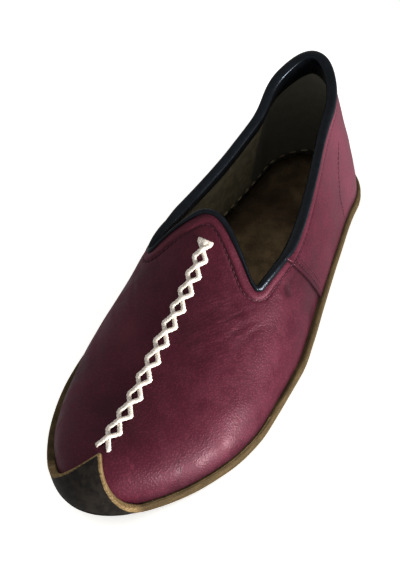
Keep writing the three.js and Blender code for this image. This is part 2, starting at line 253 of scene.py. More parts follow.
@dataclass(frozen=True)
class Collar:
    """Edge of the opening: high at the heel, low at two corners, with a rounded throat tab between them."""

    back: float = 79.0
    corner: float = 43.8
    sweep: float = 2.4
    dip: float = 4.0
    dip_reach: float = 20.0
    corner_at: float = 143.5
    corner_foot: float = 175.0
    peak_at: float = 126.0
    peak_aside: float = 5.0
    peak_round: float = 0.7
    round_back: float = 4.5
    round_tab: float = 0.14

    def height(self, u: np.ndarray) -> np.ndarray:
        """Height of the edge along the quarters."""
        behind = self.corner_at - np.asarray(u, float)
        dip = self.dip * (1 - np.clip(1 - behind / self.dip_reach, 0, 1) ** 2)
        sweep = np.clip(behind / self.corner_at, 0, 1) ** self.sweep
        return self.corner + dip + (self.back - self.corner - self.dip) * sweep

    def tab(self, last: Last, part: np.ndarray, side: np.ndarray) -> tuple[np.ndarray, np.ndarray]:
        """Edge of the throat tab in plan.

        Args:
            last: Form of the foot.
            part: 1 at the low corner, 0 at the top of the tab.
            side: Sides of the foot.

        Returns:
            Places along and across the foot.
        """
        t = part**2
        rounding = 2 * self.peak_round
        corner = last.wall(np.full_like(t, self.corner_at), np.full_like(t, self.corner), side)
        across = np.sqrt(t * (t + rounding) / (1 + rounding))
        return blend(self.peak_at, self.corner_at, t), blend(self.peak_aside, corner, across)

    def edge(
        self, last: Last, top: np.ndarray, part: np.ndarray, side: np.ndarray
    ) -> tuple[np.ndarray, np.ndarray]:
        """The whole edge in plan, with the low corner between quarter and tab rounded.

        Args:
            last: Form of the foot.
            top: Places along the quarter, for ribs that end on it.
            part: Places on the tab, below 1 for ribs that end on it.
            side: Sides of the foot.

        Returns:
            Places along and across the foot.
        """
        on_tab = part < 1

        def quarter(u: np.ndarray) -> np.ndarray:
            """Edge along the quarter in plan."""
            return np.stack([u, last.wall(u, self.height(u), side)], -1)

        ahead = np.where(on_tab, (1 - part) / self.round_tab, (top - self.corner_at) / self.round_back)
        plain = np.where(on_tab[:, None], np.stack(self.tab(last, part, side), -1), quarter(top))
        start = quarter(np.full_like(top, self.corner_at - self.round_back))
        corner = quarter(np.full_like(top, self.corner_at))
        end = np.stack(self.tab(last, np.full_like(part, 1 - self.round_tab), side), -1)
        t = ((1 + np.clip(ahead, -1, 1)) / 2)[:, None]
        bent = start * (1 - t) ** 2 + corner * 2 * t * (1 - t) + end * t**2
        chosen = np.where(np.abs(ahead)[:, None] >= 1, plain, bent)
        return chosen[:, 0], chosen[:, 1]


@dataclass
class Ribs:
    """Paths over the last from the sole to the collar, once around: heel, outer side, toe, inner side."""

    last: Last
    collar: Collar
    seam_foot: float = 101.0
    seam_top: float = 121.0
    heel_count: int = 104
    seam_count: int = 56
    vamp_count: int = 92
    seam_edge: tuple[float, ...] = (1.3, 0.9, 0.6, 0.35, 0.15, 0.02)
    seam_front: tuple[float, ...] = (0.02, 0.3, 0.8)
    spread: float = 1.2
    steps: int = 150
    most_slant: float = 1.6
    foot: np.ndarray = field(init=False)
    side: np.ndarray = field(init=False)
    points: np.ndarray = field(init=False)
    normals: np.ndarray = field(init=False)
    total: np.ndarray = field(init=False)
    slant: np.ndarray = field(init=False)
    out: np.ndarray = field(init=False)

    def __post_init__(self) -> None:
        """Lays all ribs and their outward directions."""
        foot, part = self._feet()
        inner = slice(len(foot) - 2, 0, -1)
        self.foot = np.concatenate([foot, foot[inner]])
        self.side = np.where(np.arange(len(self.foot)) < len(foot), Side.OUTER.value, Side.INNER.value)
        self._lay_points(np.concatenate([part, part[inner]]))
        before, after = np.roll(self.points, 1, axis=0), np.roll(self.points, -1, axis=0)
        across = after - before
        along = np.gradient(self.points, axis=1)
        self.normals = unit(np.cross(along, across))
        self.normals[:, 0, 2] = 0
        self.normals[:, 0] = unit(self.normals[:, 0])
        self.out = self.normals[:, 0]
        end = unit(self.points[:, -1] - self.points[:, -2])
        meet = np.sum(end * unit(across[:, -1]), axis=1)
        self.slant = np.minimum(1 / np.sqrt(np.maximum(1 - meet**2, 1e-6)), self.most_slant)

    def _feet(self) -> tuple[np.ndarray, np.ndarray]:
        """Feet of the ribs on one side from heel to toe, and where each meets the tab's edge."""
        heel_end = self.seam_foot - self.seam_edge[0]
        turn = np.linspace(0, np.pi / 2, self.heel_count, endpoint=False)
        heel = heel_end * (1 - np.cos(turn))
        edge = self.seam_foot - np.array(self.seam_edge)
        front = self.seam_foot + np.array(self.seam_front)
        side = np.linspace(front[-1], self.collar.corner_foot, self.seam_count + 1)[1:-1]
        share = np.linspace(0, 1, self.vamp_count)
        vamp = blend(self.collar.corner_foot, self.last.length, np.sin(np.pi / 2 * share))
        foot = np.concatenate([heel, edge, front, side, vamp])
        part = np.concatenate([np.ones(len(foot) - len(vamp)), 1 - share**self.spread])
        return foot, part

    def _lay_points(self, part: np.ndarray) -> None:
        """Points at equal steps along each rib, which lies on the last all the way."""
        last, collar = self.last, self.collar
        foot, side = self.foot, self.side
        settle = np.clip((foot - self.seam_foot) / (collar.corner_foot - self.seam_foot), 0, 1)
        forward = (self.seam_top - self.seam_foot) * smooth(foot, 0, self.seam_foot)
        top = foot + blend(forward, collar.corner_at - collar.corner_foot, settle)
        on_tab = foot >= collar.corner_foot
        end_u, end_x = collar.edge(last, top, part, side)
        rounded = top > collar.corner_at - collar.round_back
        height = np.where(rounded, last.arch(end_u, end_x), collar.height(end_u))
        t = np.linspace(0, 1, 4 * self.steps + 1)[None, :] ** np.where(on_tab, 2, 1)[:, None]
        u = blend(foot[:, None], end_u[:, None], t)
        start_x = side * last.half_width(foot, side)
        straight = blend(start_x[:, None], end_x[:, None], t)
        upright = last.wall(u, height[:, None] * t, side[:, None])
        x = blend(upright, straight, settle[:, None])
        rise = np.where(settle[:, None] > 0, last.arch(u, x), height[:, None] * t)
        fine = last.place(u, x, rise)
        run = run_along(fine)
        self.total = run[:, -1]
        goals = np.linspace(0, 1, self.steps + 1)
        self.points = np.stack(
            [
                np.stack([np.interp(goals * total, way, rib[:, axis]) for axis in range(3)], -1)
                for rib, way, total in zip(fine, run, self.total)
            ]
        )

    def at(self, distance: np.ndarray, off: np.ndarray) -> np.ndarray:
        """Points at distances along the ribs from the sole, moved outwards; they may run on past the collar.

        Args:
            distance: One row of distances for each rib.
            off: Outward moves, of the same shape.

        Returns:
            One row of points for each rib.
        """
        distance, off = np.broadcast_arrays(distance, off)
        step = np.clip(distance / self.total[:, None], 0, 1) * self.steps
        k = np.minimum(step.astype(int), self.steps - 1)
        part = (step - k)[..., None]
        rib = np.arange(len(self.total))[:, None]
        point = blend(self.points[rib, k], self.points[rib, k + 1], part)
        normal = unit(blend(self.normals[rib, k], self.normals[rib, k + 1], part))
        past = unit(self.points[:, -1] - self.points[:, -2])[:, None, :]
        beyond = np.maximum(distance - self.total[:, None], 0)[..., None]
        return point + normal * off[..., None] + past * beyond

    def edge_distance(self, points: np.ndarray, finer: int = 4) -> np.ndarray:
        """Distance of each point from the collar's edge.

        Args:
            points: One row of points for each rib.
            finer: Stations between neighbouring ribs on the edge.

        Returns:
            One distance for each point.
        """
        end = self.points[:, -1]
        share = np.arange(finer)[None, :, None] / finer
        edge = blend(end[:, None], np.roll(end, -1, axis=0)[:, None], share).reshape(-1, 3)
        square = np.sum(edge**2, axis=1)
        columns = []
        for column in np.moveaxis(points, 1, 0):
            apart = np.sum(column**2, axis=1)[:, None] + square[None, :] - 2 * column @ edge.T
            columns.append(np.sqrt(np.maximum(apart.min(axis=1), 0)))
        return np.stack(columns, axis=1)

    def below_collar(self, down: float | np.ndarray) -> np.ndarray:
        """Distances along the ribs of a line that runs `down` below the collar's edge."""
        return self.total[:, None] - np.atleast_1d(down)[None, :] * self.slant[:, None]

    def foot_points(self, off: np.ndarray, height: np.ndarray) -> np.ndarray:
        """Points beside the ribs' feet, moved outwards, at heights above the bottom of the sole."""
        off, height = np.broadcast_arrays(np.asarray(off, float), np.asarray(height, float))
        point = self.points[:, :1] + self.out[:, None] * off[..., None]
        point[..., 2] = self.last.lift(-point[..., 1]) + height
        return point

    def middle_points(self, height: float, margin: float = 18.0) -> np.ndarray:
        """Points on the foot's middle line, one for each rib, where a plate's rows meet."""
        u = blend(margin, self.last.length - margin, self.foot / self.last.length)
        return np.stack([self.last.middle(u), -u, self.last.lift(u) + height], -1)[:, None]

    def toe_run(self) -> np.ndarray:
        """Length along the sole's line from the middle of the toe to each rib's foot."""
        toe = int(np.argmax(self.foot))
        step = np.linalg.norm(np.roll(self.points[:, 0], -1, axis=0) - self.points[:, 0], axis=1)
        run = np.concatenate([[0], np.cumsum(step)[:-1]])
        ahead = np.abs(run - run[toe])
        return np.minimum(ahead, step.sum() - ahead)


@dataclass(frozen=True)
class Wave:
    """One slow swell of hand-stretched leather."""

    length: float
    heading: tuple[float, float, float]
    amount: float
    phase: float


SWELLS = (
    Wave(61, (0.4, 1.0, 0.2), 0.22, 0.4),
    Wave(43, (1.0, -0.5, 0.3), 0.18, 2.1),
    Wave(29, (0.7, 0.9, -0.6), 0.12, 4.0),
    Wave(19, (-0.8, 0.6, 0.7), 0.07, 1.3),
    Wave(12, (0.5, 0.3, 1.0), 0.04, 5.2),
)


def swell(points: np.ndarray) -> np.ndarray:
    """Slow unevenness of the leather at the given points."""
    total = np.zeros(points.shape[:-1])
    for wave in SWELLS:
        heading = unit(np.array(wave.heading))
        total += wave.amount * np.sin(2 * np.pi * (points @ heading) / wave.length + wave.phase)
    return total


@dataclass(frozen=True)
class Crease:
    """A soft trough with a low ridge on each side, between two plan places (u, x) on the upper."""

    start: tuple[float, float]
    end: tuple[float, float]
    bow: float
    width: float
    depth: float
    fade: float = 0.7
    ridge_at: float = 2.1
    ridge_share: float = 0.45

    def relief(self, last: Last, points: np.ndarray, stations: int = 9) -> np.ndarray:
        """Height of the crease over the smooth skin.

        Args:
            last: Form of the foot that the crease lies on.
            points: Places on the skin.
            stations: Points by which the crease's line is followed.

        Returns:
            One height for each place.
        """
        t = np.linspace(0, 1, stations)
        start, end = np.array(self.start), np.array(self.end)
        way = end - start
        aside = unit(np.array([-way[1], way[0]]))
        plan = start + way * t[:, None] + aside * (self.bow * 4 * t * (1 - t))[:, None]
        line = last.skin(plan[:, 0], plan[:, 1])
        near = np.full(points.shape[:-1], 1e9)
        along = np.zeros(points.shape[:-1])
        for k in range(stations - 1):
            step = line[k + 1] - line[k]
            part = np.clip(((points - line[k]) @ step) / (step @ step), 0, 1)
            distance = np.linalg.norm(points - line[k] - part[..., None] * step, axis=-1)
            closer = distance < near
            near = np.where(closer, distance, near)
            along = np.where(closer, (k + part) / (stations - 1), along)
        fade = np.sin(np.pi * np.clip(along, 0.02, 0.98)) ** self.fade
        ridge = bell(near - self.ridge_at * self.width, self.width)
        return self.depth * fade * (self.ridge_share * ridge - bell(near, self.width))


CREASES = (
    Crease((183, 16), (171, 27), 0.8, 1.0, 0.21),
    Crease((174, 23), (162, 31), -0.6, 0.9, 0.15),
    Crease((166, 26), (150, 37), 0.9, 1.1, 0.2),
    Crease((168, 17), (154, 27), 0.7, 0.9, 0.13),
    Crease((170, 32), (153, 40), 1.0, 1.2, 0.17),
    Crease((172, 38), (151, 44), 1.2, 1.4, 0.13),
    Crease((182, 27), (171, 35), 0.6, 1.0, 0.12),
    Crease((190, 21), (178, 33), 1.0, 1.3, 0.14),
    Crease((160, 20), (150, 27), 0.5, 0.9, 0.11),
    Crease((128, 43.5), (132, 46.5), 0.3, 2.6, 0.55),
    Crease((176, -18), (160, -32), -1.2, 1.4, 0.16),
    Crease((168, -24), (150, -36), -0.9, 1.2, 0.15),
    Crease((186, -22), (172, -36), -1.0, 1.5, 0.13),
    Crease((206, 30), (196, 44), 1.5, 2.4, 0.11),
    Crease((208, -26), (197, -40), -1.5, 2.4, 0.11),
)


def lay_grid(bm: bmesh.types.BMesh, points: np.ndarray, around: bool, ring: bool) -> None:
    """Adds a grid to a bmesh and sets its vertices on rows of points; doubles are merged later.

    Args:
        bm: The bmesh that takes the grid.
        points: Rows of points, in metres.
        around: Whether the last row joins the first.
        ring: Whether each row's end joins its start.
    """
    rows, columns = points.shape[:2]
    x_steps, y_steps = rows - (not around), columns - (not ring)
    made = bmesh.ops.create_grid(bm, x_segments=x_steps, y_segments=y_steps, size=0.5)["verts"]
    row_key, column_key = bm.verts.layers.int["row"], bm.verts.layers.int["column"]
    places = points.tolist()
    for vert in made:
        row = round((vert.co.x + 0.5) * x_steps)
        column = round((vert.co.y + 0.5) * y_steps)
        vert[row_key], vert[column_key] = row, column
        vert.co = places[row % rows][column % columns]


def new_bmesh() -> bmesh.types.BMesh:
    """An empty bmesh whose vertices remember their row and column."""
    bm = bmesh.new()
    bm.verts.layers.int.new("row")
    bm.verts.layers.int.new("column")
    return bm


def close_ends(bm: bmesh.types.BMesh) -> None:
    """Merges doubles and caps what is still open."""
    bmesh.ops.remove_doubles(bm, verts=bm.verts[:], dist=MERGE)
    open_edges = [edge for edge in bm.edges if edge.is_boundary]
    bmesh.ops.holes_fill(bm, edges=open_edges, sides=0)


def finish_mesh(bm: bmesh.types.BMesh, name: str) -> bpy.types.Object:
    """Merges doubles, turns faces outwards and makes the object at the origin; the bmesh is freed."""
    bmesh.ops.remove_doubles(bm, verts=bm.verts[:], dist=MERGE)
    bmesh.ops.dissolve_degenerate(bm, edges=bm.edges[:], dist=MERGE)
    bmesh.ops.recalc_face_normals(bm, faces=bm.faces[:])
    for face in bm.faces:
        face.smooth = True
    mesh = bpy.data.meshes.new(name)
    for key in ("row", "column"):
        bm.verts.layers.int.remove(bm.verts.layers.int[key])
    bm.to_mesh(mesh)
    bm.free()
    piece = bpy.data.objects.new(name, mesh)
    bpy.context.scene.collection.objects.link(piece)
    return piece


@dataclass
class Bench:
    """Where pieces are put together: moves the shoe's sizes into the part's frame and hands pieces over."""

    offset: np.ndarray

    def to_frame(self, points: np.ndarray) -> np.ndarray:
        """Points of the shoe in metres, in the part's frame."""
        return (points + self.offset) * MM

    def loft(
        self,
        name: str,
        points: np.ndarray,
        around: bool = True,
        ring: bool = False,
        marks: dict[str, np.ndarray] | None = None,
    ) -> bpy.types.Object:
        """Closed piece from rows of points.

        Args:
            name: The piece's name.
            points: Rows of points in the shoe's sizes.
            around: Whether the last row joins the first; otherwise both ends are capped.
            ring: Whether each row's end joins its start.
            marks: Values kept on the vertices for the materials, by name.

        Returns:
            The new object.
        """
        bm = new_bmesh()
        lay_grid(bm, self.to_frame(points), around, ring)
        rows, columns = points.shape[:2]
        for key, values in (marks or {}).items():
            layer = bm.verts.layers.float.new(key)
            listed = np.broadcast_to(values, (rows, columns)).tolist()
            row_key, column_key = bm.verts.layers.int["row"], bm.verts.layers.int["column"]
            for vert in bm.verts:
                vert[layer] = listed[vert[row_key] % rows][vert[column_key] % columns]
        if not around:
            close_ends(bm)
        return finish_mesh(bm, name)

    def hand_over(
        self,
        piece: bpy.types.Object,
        finish: bpy.types.Material,
        slot: str | None = None,
        replaces: Sequence[str] = (),
    ) -> None:
        """Dresses a piece, sets it on the shoe's body and reports it.

        Args:
            piece: The finished object.
            finish: Its material.
            slot: The record's material slot; not used.
            replaces: Solids that it stands for.
        """
        piece.data.materials.append(finish)
        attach(piece, BODY)
        if replaces:
            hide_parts(*replaces)
        LOG.info("%s: %d faces", piece.name, len(piece.data.polygons))


def colour(code: str) -> tuple[float, float, float, float]:
    """Linear colour from a hex code as a screen shows it."""
    parts = [int(code[k : k + 2], 16) / 255 for k in (1, 3, 5)]
    linear = [part / 12.92 if part <= 0.04045 else ((part + 0.055) / 1.055) ** 2.4 for part in parts]
    return (linear[0], linear[1], linear[2], 1.0)


Socket = bpy.types.NodeSocket
Feed = float | tuple | Socket
Inputs = dict[str | int, Feed]
VECTOR = "NodeSocketVector"
VALUE = "NodeSocketFloat"


class Shading:
    """Adds linked nodes to a material or a node group."""

    def __init__(self, tree: bpy.types.NodeTree) -> None:
        """Works on the given tree."""
        self.tree = tree

    def node(self, kind: str, inputs: Inputs | None = None, **settings: object) -> bpy.types.Node:
        """New node with its settings and inputs.

        Args:
            kind: Blender's name of the node type.
            inputs: Values or sockets by input name or index.
            settings: Properties of the node.

        Returns:
            The node.
        """
        made = self.tree.nodes.new(kind)
        for key, value in settings.items():
            setattr(made, key, value)
        self.feed(made, inputs or {})
        return made

    def feed(self, node: bpy.types.Node, inputs: Inputs) -> None:
        """Links or sets inputs of a node."""
        for key, value in inputs.items():
            if isinstance(value, Socket):
                self.tree.links.new(value, node.inputs[key])
            else:
                node.inputs[key].default_value = value

    def mix(self, part: Feed, first: Feed, second: Feed) -> Socket:
        """Colour between two others."""
        return self.node("ShaderNodeMix", {0: part, 6: first, 7: second}, data_type="RGBA").outputs[2]

    def tint(self, tone: Feed, code: str, mask: Feed, amount: float = 1.0) -> Socket:
        """A tone turned towards a colour by a mask, as far as the amount."""
        return self.mix(self.times(mask, amount), tone, colour(code))

    def math(self, way: str, first: Feed, second: Feed) -> Socket:
        """One sum of two values."""
        return self.node("ShaderNodeMath", {0: first, 1: second}, operation=way).outputs[0]

    def times(self, first: Feed, second: Feed) -> Socket:
        """Product of two values."""
        return self.math("MULTIPLY", first, second)

    def vector(self, way: str, inputs: Inputs, output: str = "Vector") -> Socket:
        """One step of vector arithmetic."""
        return self.node("ShaderNodeVectorMath", inputs, operation=way).outputs[output]

    def span(self, value: Feed, low: float, high: float, to: tuple[float, float] = (0, 1)) -> Socket:
        """Soft step of a value between two limits."""
        inputs = {"Value": value, "From Min": low, "From Max": high, "To Min": to[0], "To Max": to[1]}
        return self.node("ShaderNodeMapRange", inputs, interpolation_type="SMOOTHSTEP").outputs["Result"]

    def mark(self, name: str) -> Socket:
        """A value kept on the piece's vertices."""
        return self.node("ShaderNodeAttribute", attribute_name=name).outputs["Fac"]

    def noise(self, vector: Feed, scale: Feed, detail: float = 3.0, rough: float = 0.5) -> Socket:
        """Cloudy noise between 0 and 1."""
        inputs = {"Vector": vector, "Scale": scale, "Detail": detail, "Roughness": rough}
        return self.node("ShaderNodeTexNoise", inputs).outputs["Fac"]

    def wobbled(self, vector: Feed, scale: Feed, amount: float) -> Socket:
        """Coordinates moved about by noise."""
        noise = self.node("ShaderNodeTexNoise", {"Vector": vector, "Scale": scale, "Detail": 2.0})
        shift = self.vector("SUBTRACT", {0: noise.outputs["Color"], 1: (0.5, 0.5, 0.5)})
        return self.vector("ADD", {0: vector, 1: self.vector("SCALE", {0: shift, "Scale": amount})})

    def stretched(self, vector: Feed, scale: tuple[float, float, float]) -> Socket:
        """Coordinates stretched by a different scale on each axis."""
        return self.node("ShaderNodeMapping", {"Vector": vector, "Scale": scale}).outputs["Vector"]

    def bump(self, height: Feed, strength: float, depth: float) -> Socket:
        """Normal raised by a height of `depth` millimetres."""
        inputs = {"Height": height, "Strength": strength, "Distance": depth * MM}
        return self.node("ShaderNodeBump", inputs).outputs["Normal"]

    def group(self, name: str, inputs: Inputs) -> bpy.types.NodeOutputs:
        """Results of one of the shared effects."""
        return self.node("ShaderNodeGroup", inputs, node_tree=bpy.data.node_groups[name]).outputs

    def finish(self, tone: Feed, rough: Feed, normal: Socket | None, specular: float = 0.5) -> bpy.types.Node:
        """Sets the looks of a material's shader.

        Args:
            tone: Its colour.
            rough: Its roughness.
            normal: Its raised normal, or None where it is plain.
            specular: Strength of its shine.

        Returns:
            The shader.
        """
        shader = self.tree.nodes["Principled BSDF"]
        self.feed(shader, {"Base Color": tone, "Roughness": rough, "Specular IOR Level": specular})
        if normal is not None:
            self.feed(shader, {"Normal": normal})
        return shader


def new_group(
    name: str, inputs: dict[str, str], outputs: Sequence[str]
) -> tuple[Shading, bpy.types.NodeOutputs, bpy.types.Node]:
    """Starts a shared effect.

    Args:
        name: The group's name.
        inputs: Socket kinds by input name.
        outputs: Names of its value outputs.

    Returns:
        Its shading, the sockets that it is given and the node that takes its results.
    """
    tree = bpy.data.node_groups.new(name, "ShaderNodeTree")
    for key, kind in inputs.items():
        tree.interface.new_socket(key, in_out="INPUT", socket_type=kind)
    for key in outputs:
        tree.interface.new_socket(key, in_out="OUTPUT", socket_type=VALUE)
    return Shading(tree), tree.nodes.new("NodeGroupInput").outputs, tree.nodes.new("NodeGroupOutput")


class Effects:
    """The effects that several finishes share."""

    GRAIN = "pebble_grain"
    CLOUD = "uneven_dye"
    FIBRE = "cut_fibres"
    SCRATCH = "scratch"
    WRINKLE = "fine_wrinkles"

    def build(self) -> None:
        """Makes all shared node groups."""
        for make in (self._grain, self._wrinkle, self._cloud, self._fibre, self._scratch):
            make()

    def _grain(self) -> None:
        """Pebbles of grained leather: a height, and a tone that is low between pebbles, used on the upper as
        painted shade.
        """
        shade, given, out = new_group(self.GRAIN, {"Vector": VECTOR, "Scale": VALUE}, ("Height", "Tone"))
        where, scale = given["Vector"], given["Scale"]
        moved = shade.wobbled(where, shade.times(scale, 0.45), 0.0011)
        inputs = {"Vector": moved, "Scale": scale, "Smoothness": 0.55}
        cells = shade.node("ShaderNodeTexVoronoi", inputs, feature="SMOOTH_F1")
        pebble = shade.span(cells.outputs["Distance"], 0.12, 0.62, (1, 0))
        pores = shade.times(shade.noise(where, shade.times(scale, 3.6), 2.0), 0.35)
        shade.feed(out, {"Height": shade.math("ADD", pebble, pores), "Tone": pebble})

    def _wrinkle(self) -> None:
        """Fine wrinkles that run from the middle of the vamp towards the low corner of the collar."""
        shade, given, out = new_group(self.WRINKLE, {"Vector": VECTOR}, ("Height",))
        turn, stretch = (0, 0, math.radians(47)), (0.0075, 0.0014, 0.003)
        inputs = {"Vector": given["Vector"], "Rotation": turn, "Scale": stretch}
        turned = shade.node("ShaderNodeMapping", inputs, vector_type="TEXTURE").outputs["Vector"]
        shade.feed(out, {"Height": shade.span(shade.noise(turned, 1.0, 3.0, 0.55), 0.4, 0.78)})

    def _cloud(self) -> None:
        """Uneven dye: broad clouds and smaller blotches, both between 0 and 1."""
        shade, given, out = new_group(self.CLOUD, {"Vector": VECTOR, "Scale": VALUE}, ("Broad", "Blotch"))
        broad = shade.noise(given["Vector"], given["Scale"], 2.0, 0.45)
        blotch = shade.noise(given["Vector"], shade.times(given["Scale"], 6.5), 4.0, 0.6)
        shade.feed(out, {"Broad": shade.span(broad, 0.32, 0.68), "Blotch": shade.span(blotch, 0.36, 0.66)})

    def _fibre(self) -> None:
        """Fibres of raw leather: streaks and short hairs."""
        shade, given, out = new_group(self.FIBRE, {"Vector": VECTOR}, ("Height", "Tone"))
        layers = shade.noise(shade.stretched(given["Vector"], (90, 90, 1500)), 1.0, 3.0, 0.6)
        hairs = shade.noise(given["Vector"], 1400.0, 3.0, 0.65)
        both = shade.math("ADD", shade.times(layers, 0.6), shade.times(hairs, 0.4))
        shade.feed(out, {"Height": both, "Tone": shade.span(both, 0.36, 0.64)})

    def _scratch(self) -> None:
        """A thin line between two points of the piece: 1 on the line, 0 beside it."""
        kinds = {"Vector": VECTOR, "Start": VECTOR, "End": VECTOR, "Width": VALUE}
        shade, given, out = new_group(self.SCRATCH, kinds, ("Mask",))
        place = shade.wobbled(given["Vector"], 380.0, 0.0016)
        way = shade.vector("SUBTRACT", {0: given["End"], 1: given["Start"]})
        here = shade.vector("SUBTRACT", {0: place, 1: given["Start"]})
        dot = shade.vector("DOT_PRODUCT", {0: here, 1: way}, "Value")
        square = shade.vector("DOT_PRODUCT", {0: way, 1: way}, "Value")
        part = shade.node("ShaderNodeClamp", {0: shade.math("DIVIDE", dot, square)}).outputs[0]
        foot = shade.vector("SCALE", {0: way, "Scale": part})
        apart = shade.vector("DISTANCE", {0: here, 1: foot}, "Value")
        share = shade.math("DIVIDE", apart, given["Width"])
        shade.feed(out, {"Mask": shade.span(share, 0.3, 1.0, (1, 0))})


def new_material(name: str) -> tuple[bpy.types.Material, Shading, Socket]:
    """A material with its shading and its Object coordinates."""
    material = bpy.data.materials.new(name)
    material.use_nodes = True
    shade = Shading(material.node_tree)
    return material, shade, shade.node("ShaderNodeTexCoord").outputs["Object"]


@dataclass(frozen=True)
class Scuff:
    """A scratch or rub on the upper between two plan places (u, x)."""

    start: tuple[float, float]
    end: tuple[float, float]
    width: float
    dark: bool


SCUFFS = (
    Scuff((228.7, 35.3), (232.5, 36.6), 0.55, True),
    Scuff((230.5, 37.2), (235.6, 37.4), 0.6, True),
    Scuff((243.0, 19.0), (251.5, 24.0), 1.1, False),
    Scuff((241.5, 16.0), (249.5, 20.5), 0.9, False),
)


@dataclass(frozen=True)
class UpperFinish:
    """Burgundy leather of the upper: fine pebbles, satin gloss, uneven dye, rubbed ridges with painted
    highlight, painted shade in folds.
    """

    name: str = "burgundy_leather"
    deep: str = "#4e1c2c"
    rich: str = "#5a2333"
    # Light tone: rubbed wear, and painted highlight on raised leather and wrinkle crests.
    rub_and_highlight: str = "#743747"
    # Dark tone: painted shade in creases, grooves, grain pits and along the lap, and the colour of dark
    # scuffs.
    shade_and_scuff: str = "#2a111a"
    # Painted sheen on the heel's quarter.
    heel_sheen: str = "#8a5a66"
    haze: tuple[float, float, float, float] = (1.0, 0.7, 0.74, 1.0)
    specular: float = 0.38
    gloss: tuple[float, float] = (0.44, 0.57)
    dye_scale: float = 16.0
    grain_scale: float = 900.0
    grain_depth: float = 0.05
    wrinkle_depth: float = 0.13
    scuff_dark: float = 0.75
    scuff_rub: float = 0.3

    def material(self, bench: Bench, last: Last) -> bpy.types.Material:
        """Builds the material, with its scuffs where the shoe has them."""
        made, shade, where = new_material(self.name)
        grain = shade.group(Effects.GRAIN, {"Vector": where, "Scale": self.grain_scale})
        cloud = shade.group(Effects.CLOUD, {"Vector": where, "Scale": self.dye_scale})
        wrinkle = shade.group(Effects.WRINKLE, {"Vector": where})
        # Wrinkles in the crinkled zone: bumps, and crests painted lighter, partly rubbed wear, partly painted
        # highlight.
        folds = shade.times(wrinkle["Height"], shade.mark("worn"))
        relief = shade.mark("relief")
        stains = [
            (self.rub_and_highlight, cloud["Blotch"], 0.25),
            # Painted shade between the pebbles of the grain.
            (self.shade_and_scuff, shade.math("SUBTRACT", 1.0, grain["Tone"]), 0.35),
            # Wrinkle crests lighter: partly rubbed wear, partly painted highlight.
            (self.rub_and_highlight, folds, 0.35),
            # Raised leather lighter: partly rubbed wear, partly painted highlight.
            (self.rub_and_highlight, shade.span(relief, 0.1, 0.8), 0.35),
            # Painted shade in troughs: creases and stitch grooves.
            (self.shade_and_scuff, shade.span(relief, -0.1, -0.7), 0.55),
            # Painted sheen on the heel's quarter.
            (self.heel_sheen, shade.mark("heel"), 0.4),
            # Darker towards the sole.
            (self.shade_and_scuff, shade.span(shade.mark("sole_up"), 5.0, 0.5), 0.5),
            # Painted shadow along the lap of the side seams.
            (self.shade_and_scuff, shade.mark("seam"), 0.85),
        ]
        for scuff in SCUFFS:
            start, end = bench.to_frame(last.skin(*np.array([scuff.start, scuff.end]).T))
            line = {"Vector": where, "Start": tuple(start), "End": tuple(end), "Width": scuff.width * MM}
            mask = shade.group(Effects.SCRATCH, line)["Mask"]
            code, amount = (self.shade_and_scuff, self.scuff_dark) if scuff.dark else (self.rub_and_highlight, self.scuff_rub)
            stains.append((code, mask, amount))
        tone = shade.tint(colour(self.deep), self.rich, cloud["Broad"])
        for code, mask, amount in stains:
            tone = shade.tint(tone, code, mask, amount)
        height = shade.times(grain["Height"], self.grain_depth)
        height = shade.math("ADD", height, shade.times(folds, self.wrinkle_depth))
        rough = shade.span(cloud["Blotch"], 0.0, 1.0, self.gloss)
        shader = shade.finish(tone, rough, shade.bump(height, 1.0, 1.0), self.specular)
        shade.feed(shader, {"Specular Tint": self.haze})
        return made


@dataclass(frozen=True)
class BindingFinish:
    """Black binding leather with a cool sheen and a fine grain."""

    name: str = "binding_leather"
    deep: str = "#0a0c10"
    worn: str = "#1a2028"
    worn_share: float = 0.4
    sheen: tuple[float, float, float, float] = (0.78, 0.88, 1.0, 1.0)
    specular: float = 0.42
    gloss: tuple[float, float] = (0.27, 0.42)
    dye_scale: float = 45.0
    grain_scale: float = 1100.0

    def material(self) -> bpy.types.Material:
        """Builds the material."""
        made, shade, where = new_material(self.name)
        grain = shade.group(Effects.GRAIN, {"Vector": where, "Scale": self.grain_scale})
        cloud = shade.group(Effects.CLOUD, {"Vector": where, "Scale": self.dye_scale})
        tone = shade.tint(colour(self.deep), self.worn, cloud["Blotch"], self.worn_share)
        rough = shade.span(cloud["Broad"], 0.0, 1.0, self.gloss)
        shader = shade.finish(tone, rough, shade.bump(grain["Height"], 0.35, 0.12), self.specular)
        shade.feed(shader, {"Specular Tint": self.sheen})
        return made


